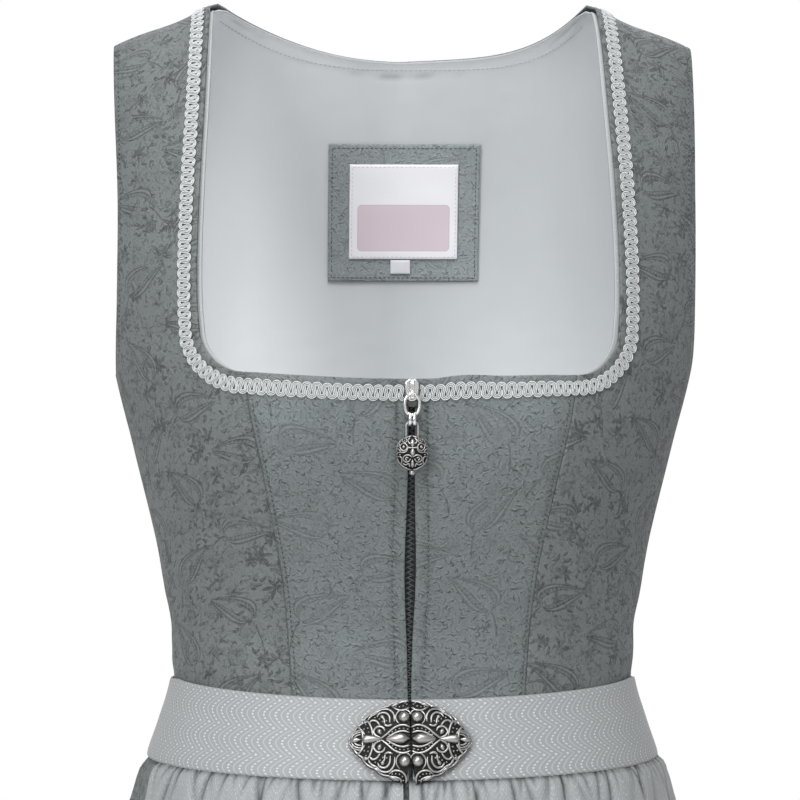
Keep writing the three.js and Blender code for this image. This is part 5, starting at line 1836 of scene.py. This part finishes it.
def ring_part(centre, half_a, half_b, radius, across_x, power=2.0, count=40):
    """A closed ring of wire, in a plane across Y or, with across_x, across X."""
    b, a = rounded(np.arange(count) / count * TURN, power, half_b, half_a)
    zero = np.zeros(count)
    offset = np.stack([zero, a, b], 1) if across_x else np.stack([a, zero, b], 1)
    path = np.asarray(centre, float) + offset
    up = np.array([1.0, 0, 0]) if across_x else np.array([0, -1.0, 0])
    points, faces = tube_mesh(path, radius, np.repeat(up[None], count, 0), sides=12, closed=True)
    return points, faces, np.zeros(len(points))


def link():
    """The ring on the bridge and the double eye that carries the charm."""
    middle = LINK["top"] - LINK["tall"] / 2
    parts = [ring_part((0, PULL_Y, middle), LINK["half"], LINK["tall"] / 2, LINK["wire"], False, 2.3)]
    for side in (-1, 1):
        place = (side * EYE["apart"], PULL_Y, EYE["z"])
        parts.append(ring_part(place, EYE["deep"], EYE["tall"], EYE["wire"], True))
    metal_piece("pull_link_rings", parts, SILVER, "link", "pull_link")


def on_charm(places, rise):
    """Points over the charm's front and the directions out of it."""
    places = np.asarray(places, float)
    x, z = places[:, 0], places[:, 1]
    inside = np.sqrt(np.maximum(0.004, 1 - (x / CHARM["half"]) ** 2 - (z / CHARM["tall"]) ** 2))
    point = np.stack([x, -CHARM["deep"] * inside, z], 1)
    up = unit(point / np.array([CHARM["half"], CHARM["deep"], CHARM["tall"]]) ** 2)
    return point + up * rise + np.array([0, PULL_Y, CHARM["z"]]), up


def charm_wire(places, radius=0.32, rise=0.15, count=18):
    path, up = on_charm(smooth_path(places, count), rise)
    return wire_part(path, up, radius)


CHARM_WIRES = [
    arc((4.2, 3.0), 1.7, 1.7, 0, 360, 13),
    arc((3.7, 6.1), 1.1, 1.0, 0, 360, 11),
    [(0.0, 8.3), (2.2, 7.6), (5.0, 6.4), (6.9, 4.0), (7.4, 1.4)],
    [(6.2, 3.6), (7.2, 2.6), (6.3, 1.6), (5.6, 0.8)],
    [(6.3, 4.9), (6.0, 3.6), (5.8, 2.4)],
    [(1.1, 7.4), (2.1, 6.2), (1.6, 4.9), (0.2, 4.4)],
    [(2.2, 2.6), (2.9, 1.0), (4.4, 0.4), (6.6, 0.4), (7.4, -0.8)],
    [(0.1, -1.8), (1.8, -0.9), (3.6, -1.1), (4.6, -2.6), (3.4, -4.2), (1.8, -3.9), (1.0, -2.6)],
    [(2.0, -2.3), (3.0, -2.0), (3.4, -2.9), (2.6, -3.4)],
    [(7.2, -1.6), (5.6, -1.8), (5.0, -3.6), (5.4, -5.2)],
    [(7.0, -2.8), (6.0, -4.8), (4.2, -6.4), (2.0, -7.6), (0.4, -8.0)],
    [(4.6, -4.8), (3.2, -5.6), (1.9, -5.0), (1.2, -6.4)],
]
CHARM_BEADS = [
    *[(4.2, 3.0, 0.85), (3.7, 6.1, 0.5), (1.9, 2.9, 0.4)],
    *[(5.7, 5.3, 0.35), (6.0, -0.7, 0.4), (2.9, -7.0, 0.4)],
]


def charm_drop(top, bottom, radius, rise=0.25):
    share = np.linspace(0, 1, 13)
    path, up = on_charm(np.stack([share * 0, mix(top, bottom, share)], 1), rise)
    return wire_part(path, up, radius * np.maximum(0.1, np.sin(share * np.pi) ** 0.8), sides=12)


def charm():
    """A ball of filigree with a bail. Its back is like its front."""
    centre = np.array([0, PULL_Y, CHARM["z"]])
    front = []
    for wire in CHARM_WIRES:
        front += both_sides([charm_wire(wire)])
    for x, z, radius in CHARM_BEADS:
        place, up = on_charm([(x, z)], 0.1)
        front += both_sides([ball_part(place[0], up[0], radius, columns=8, rows=6)])
    for drop in ((6.9, 2.9, 1.15), (2.4, -1.4, 1.2), (-3.0, -7.0, 0.85)):
        front.append(charm_drop(*drop))
    front.append(charm_wire([(-2.0, 2.65), (0.0, 2.65), (2.0, 2.65)], 0.3, 0.3))
    points, faces, _ = ball_part((0, 0, 0), (0, -1.0, 0), 1.0, columns=40, rows=24)
    inset = np.array([CHARM["half"], CHARM["deep"], CHARM["tall"]]) - 0.35
    parts = [(points * inset + centre, faces, np.full(len(points), 0.95))]
    parts += front + flipped(front, 1, PULL_Y)
    foot = centre - np.array([0, 0, CHARM["tall"] + 0.9])
    points, faces, hollow = ball_part(foot, (0, -1.0, 0), 1.5, columns=14, rows=10)
    parts.append((points, faces, hollow * 0.4))
    half = CHARM["bail"]
    bail = [(-half, -CHARM["drop"] - 0.6), (-half, -3.4), (-half, -1.7), (-half * 0.7, -0.3), (0, 0)]
    bail += [(-x, z) for x, z in bail[-2::-1]]
    path = smooth_path([(x, PULL_Y, CHARM["top"] + z) for x, z in bail], 44)
    points, faces = tube_mesh(path, CHARM["wire"], np.repeat([[0, -1.0, 0]], len(path), 0), sides=10)
    parts.append((points, faces, np.zeros(len(points))))
    metal_piece("pull_charm_filigree", parts, OLD_SILVER, "charm", "pull_charm")


# The camera stands where the photo was taken from.
CAMERA = {"x": -74.2, "y": -1898.6, "z": -205.0, "turn": 2.2, "lens": 164.4, "sensor": 36.0}


def camera():
    data = bpy.data.cameras.new("camera")
    data.lens = CAMERA["lens"]
    data.sensor_width = CAMERA["sensor"]
    data.clip_end = 50
    seen = bpy.data.objects.new("camera", data)
    seen.location = [CAMERA[axis] * MM for axis in "xyz"]
    seen.rotation_euler = (math.pi / 2, 0, -math.radians(CAMERA["turn"]))
    bpy.context.scene.collection.objects.link(seen)
    bpy.context.scene.camera = seen


def area_light(name, place, target, size, power):
    data = bpy.data.lights.new(name, "AREA")
    data.shape = "DISK"
    data.size = size
    data.energy = power
    light = bpy.data.objects.new(name, data)
    light.location = place
    aim = np.array(target) - np.array(place)
    away = math.hypot(aim[0], aim[1])
    light.rotation_euler = (math.atan2(away, -aim[2]), 0, math.atan2(-aim[0], aim[1]))
    bpy.context.scene.collection.objects.link(light)


# The lights by their places, sizes and powers. All aim at one place.
LIGHTS = {
    "key": ((-1.6, -2.5, 0.6), 1.1, 36),
    "top": ((0.0, -1.9, 1.75), 1.2, 40),
    "fill": ((0.9, -3.0, -0.1), 1.5, 3),
    "above": ((-0.1, -0.3, 1.7), 1.4, 18),
    "back": ((0.3, 2.4, 1.2), 2.0, 14),
}
LIT_PLACE = (0, 0, -0.25)
SURROUND_LIGHT = 0.42
FLOOR = {"half": 2.5, "z": -1.06}


def studio():
    """A pale floor, a white surround and soft lights."""
    scene = bpy.context.scene
    scene.view_settings.view_transform = "Standard"
    world = bpy.data.worlds.new("surround")
    world.use_nodes = True
    tree = world.node_tree
    shade = tree.nodes["Background"]
    shade.inputs["Color"].default_value = (1, 1, 1, 1)
    seen = tree.nodes.new("ShaderNodeLightPath")
    level = tree.nodes.new("ShaderNodeMapRange")
    level.inputs["To Min"].default_value = SURROUND_LIGHT
    level.inputs["To Max"].default_value = 1.0
    tree.links.new(seen.outputs["Is Camera Ray"], level.inputs["Value"])
    tree.links.new(level.outputs[0], shade.inputs["Strength"])
    scene.world = world
    mesh = bpy.data.meshes.new("floor")
    corners = [(-1, -1), (1, -1), (1, 1), (-1, 1)]
    places = [(x * FLOOR["half"], y * FLOOR["half"], FLOOR["z"]) for x, y in corners]
    mesh.from_pydata(places, [], [(0, 1, 2, 3)])
    pale = bpy.data.materials.new("floor")
    pale.use_nodes = True
    pale.node_tree.nodes["Principled BSDF"].inputs["Base Color"].default_value = (0.86, 0.86, 0.86, 1)
    mesh.materials.append(pale)
    floor = bpy.data.objects.new("floor", mesh)
    scene.collection.objects.link(floor)
    for name, (place, size, power) in LIGHTS.items():
        area_light(name, place, LIT_PLACE, size, power)


camera()
build_bodice()
skirt_half(-27, 27, "skirt_front", 0.6)
skirt_half(27, 81, "skirt_back", 1.9)
band()
apron_half(APRON_LEFT, "apron_left", 0.3)
apron_half(APRON_RIGHT, "apron_right", 1.4)
braid("neck_braid_left", False)
braid("neck_braid_right", True)
zip_tape()
zip_teeth()
labels()
sewing()
slider()
link()
charm()
clasp()
studio()
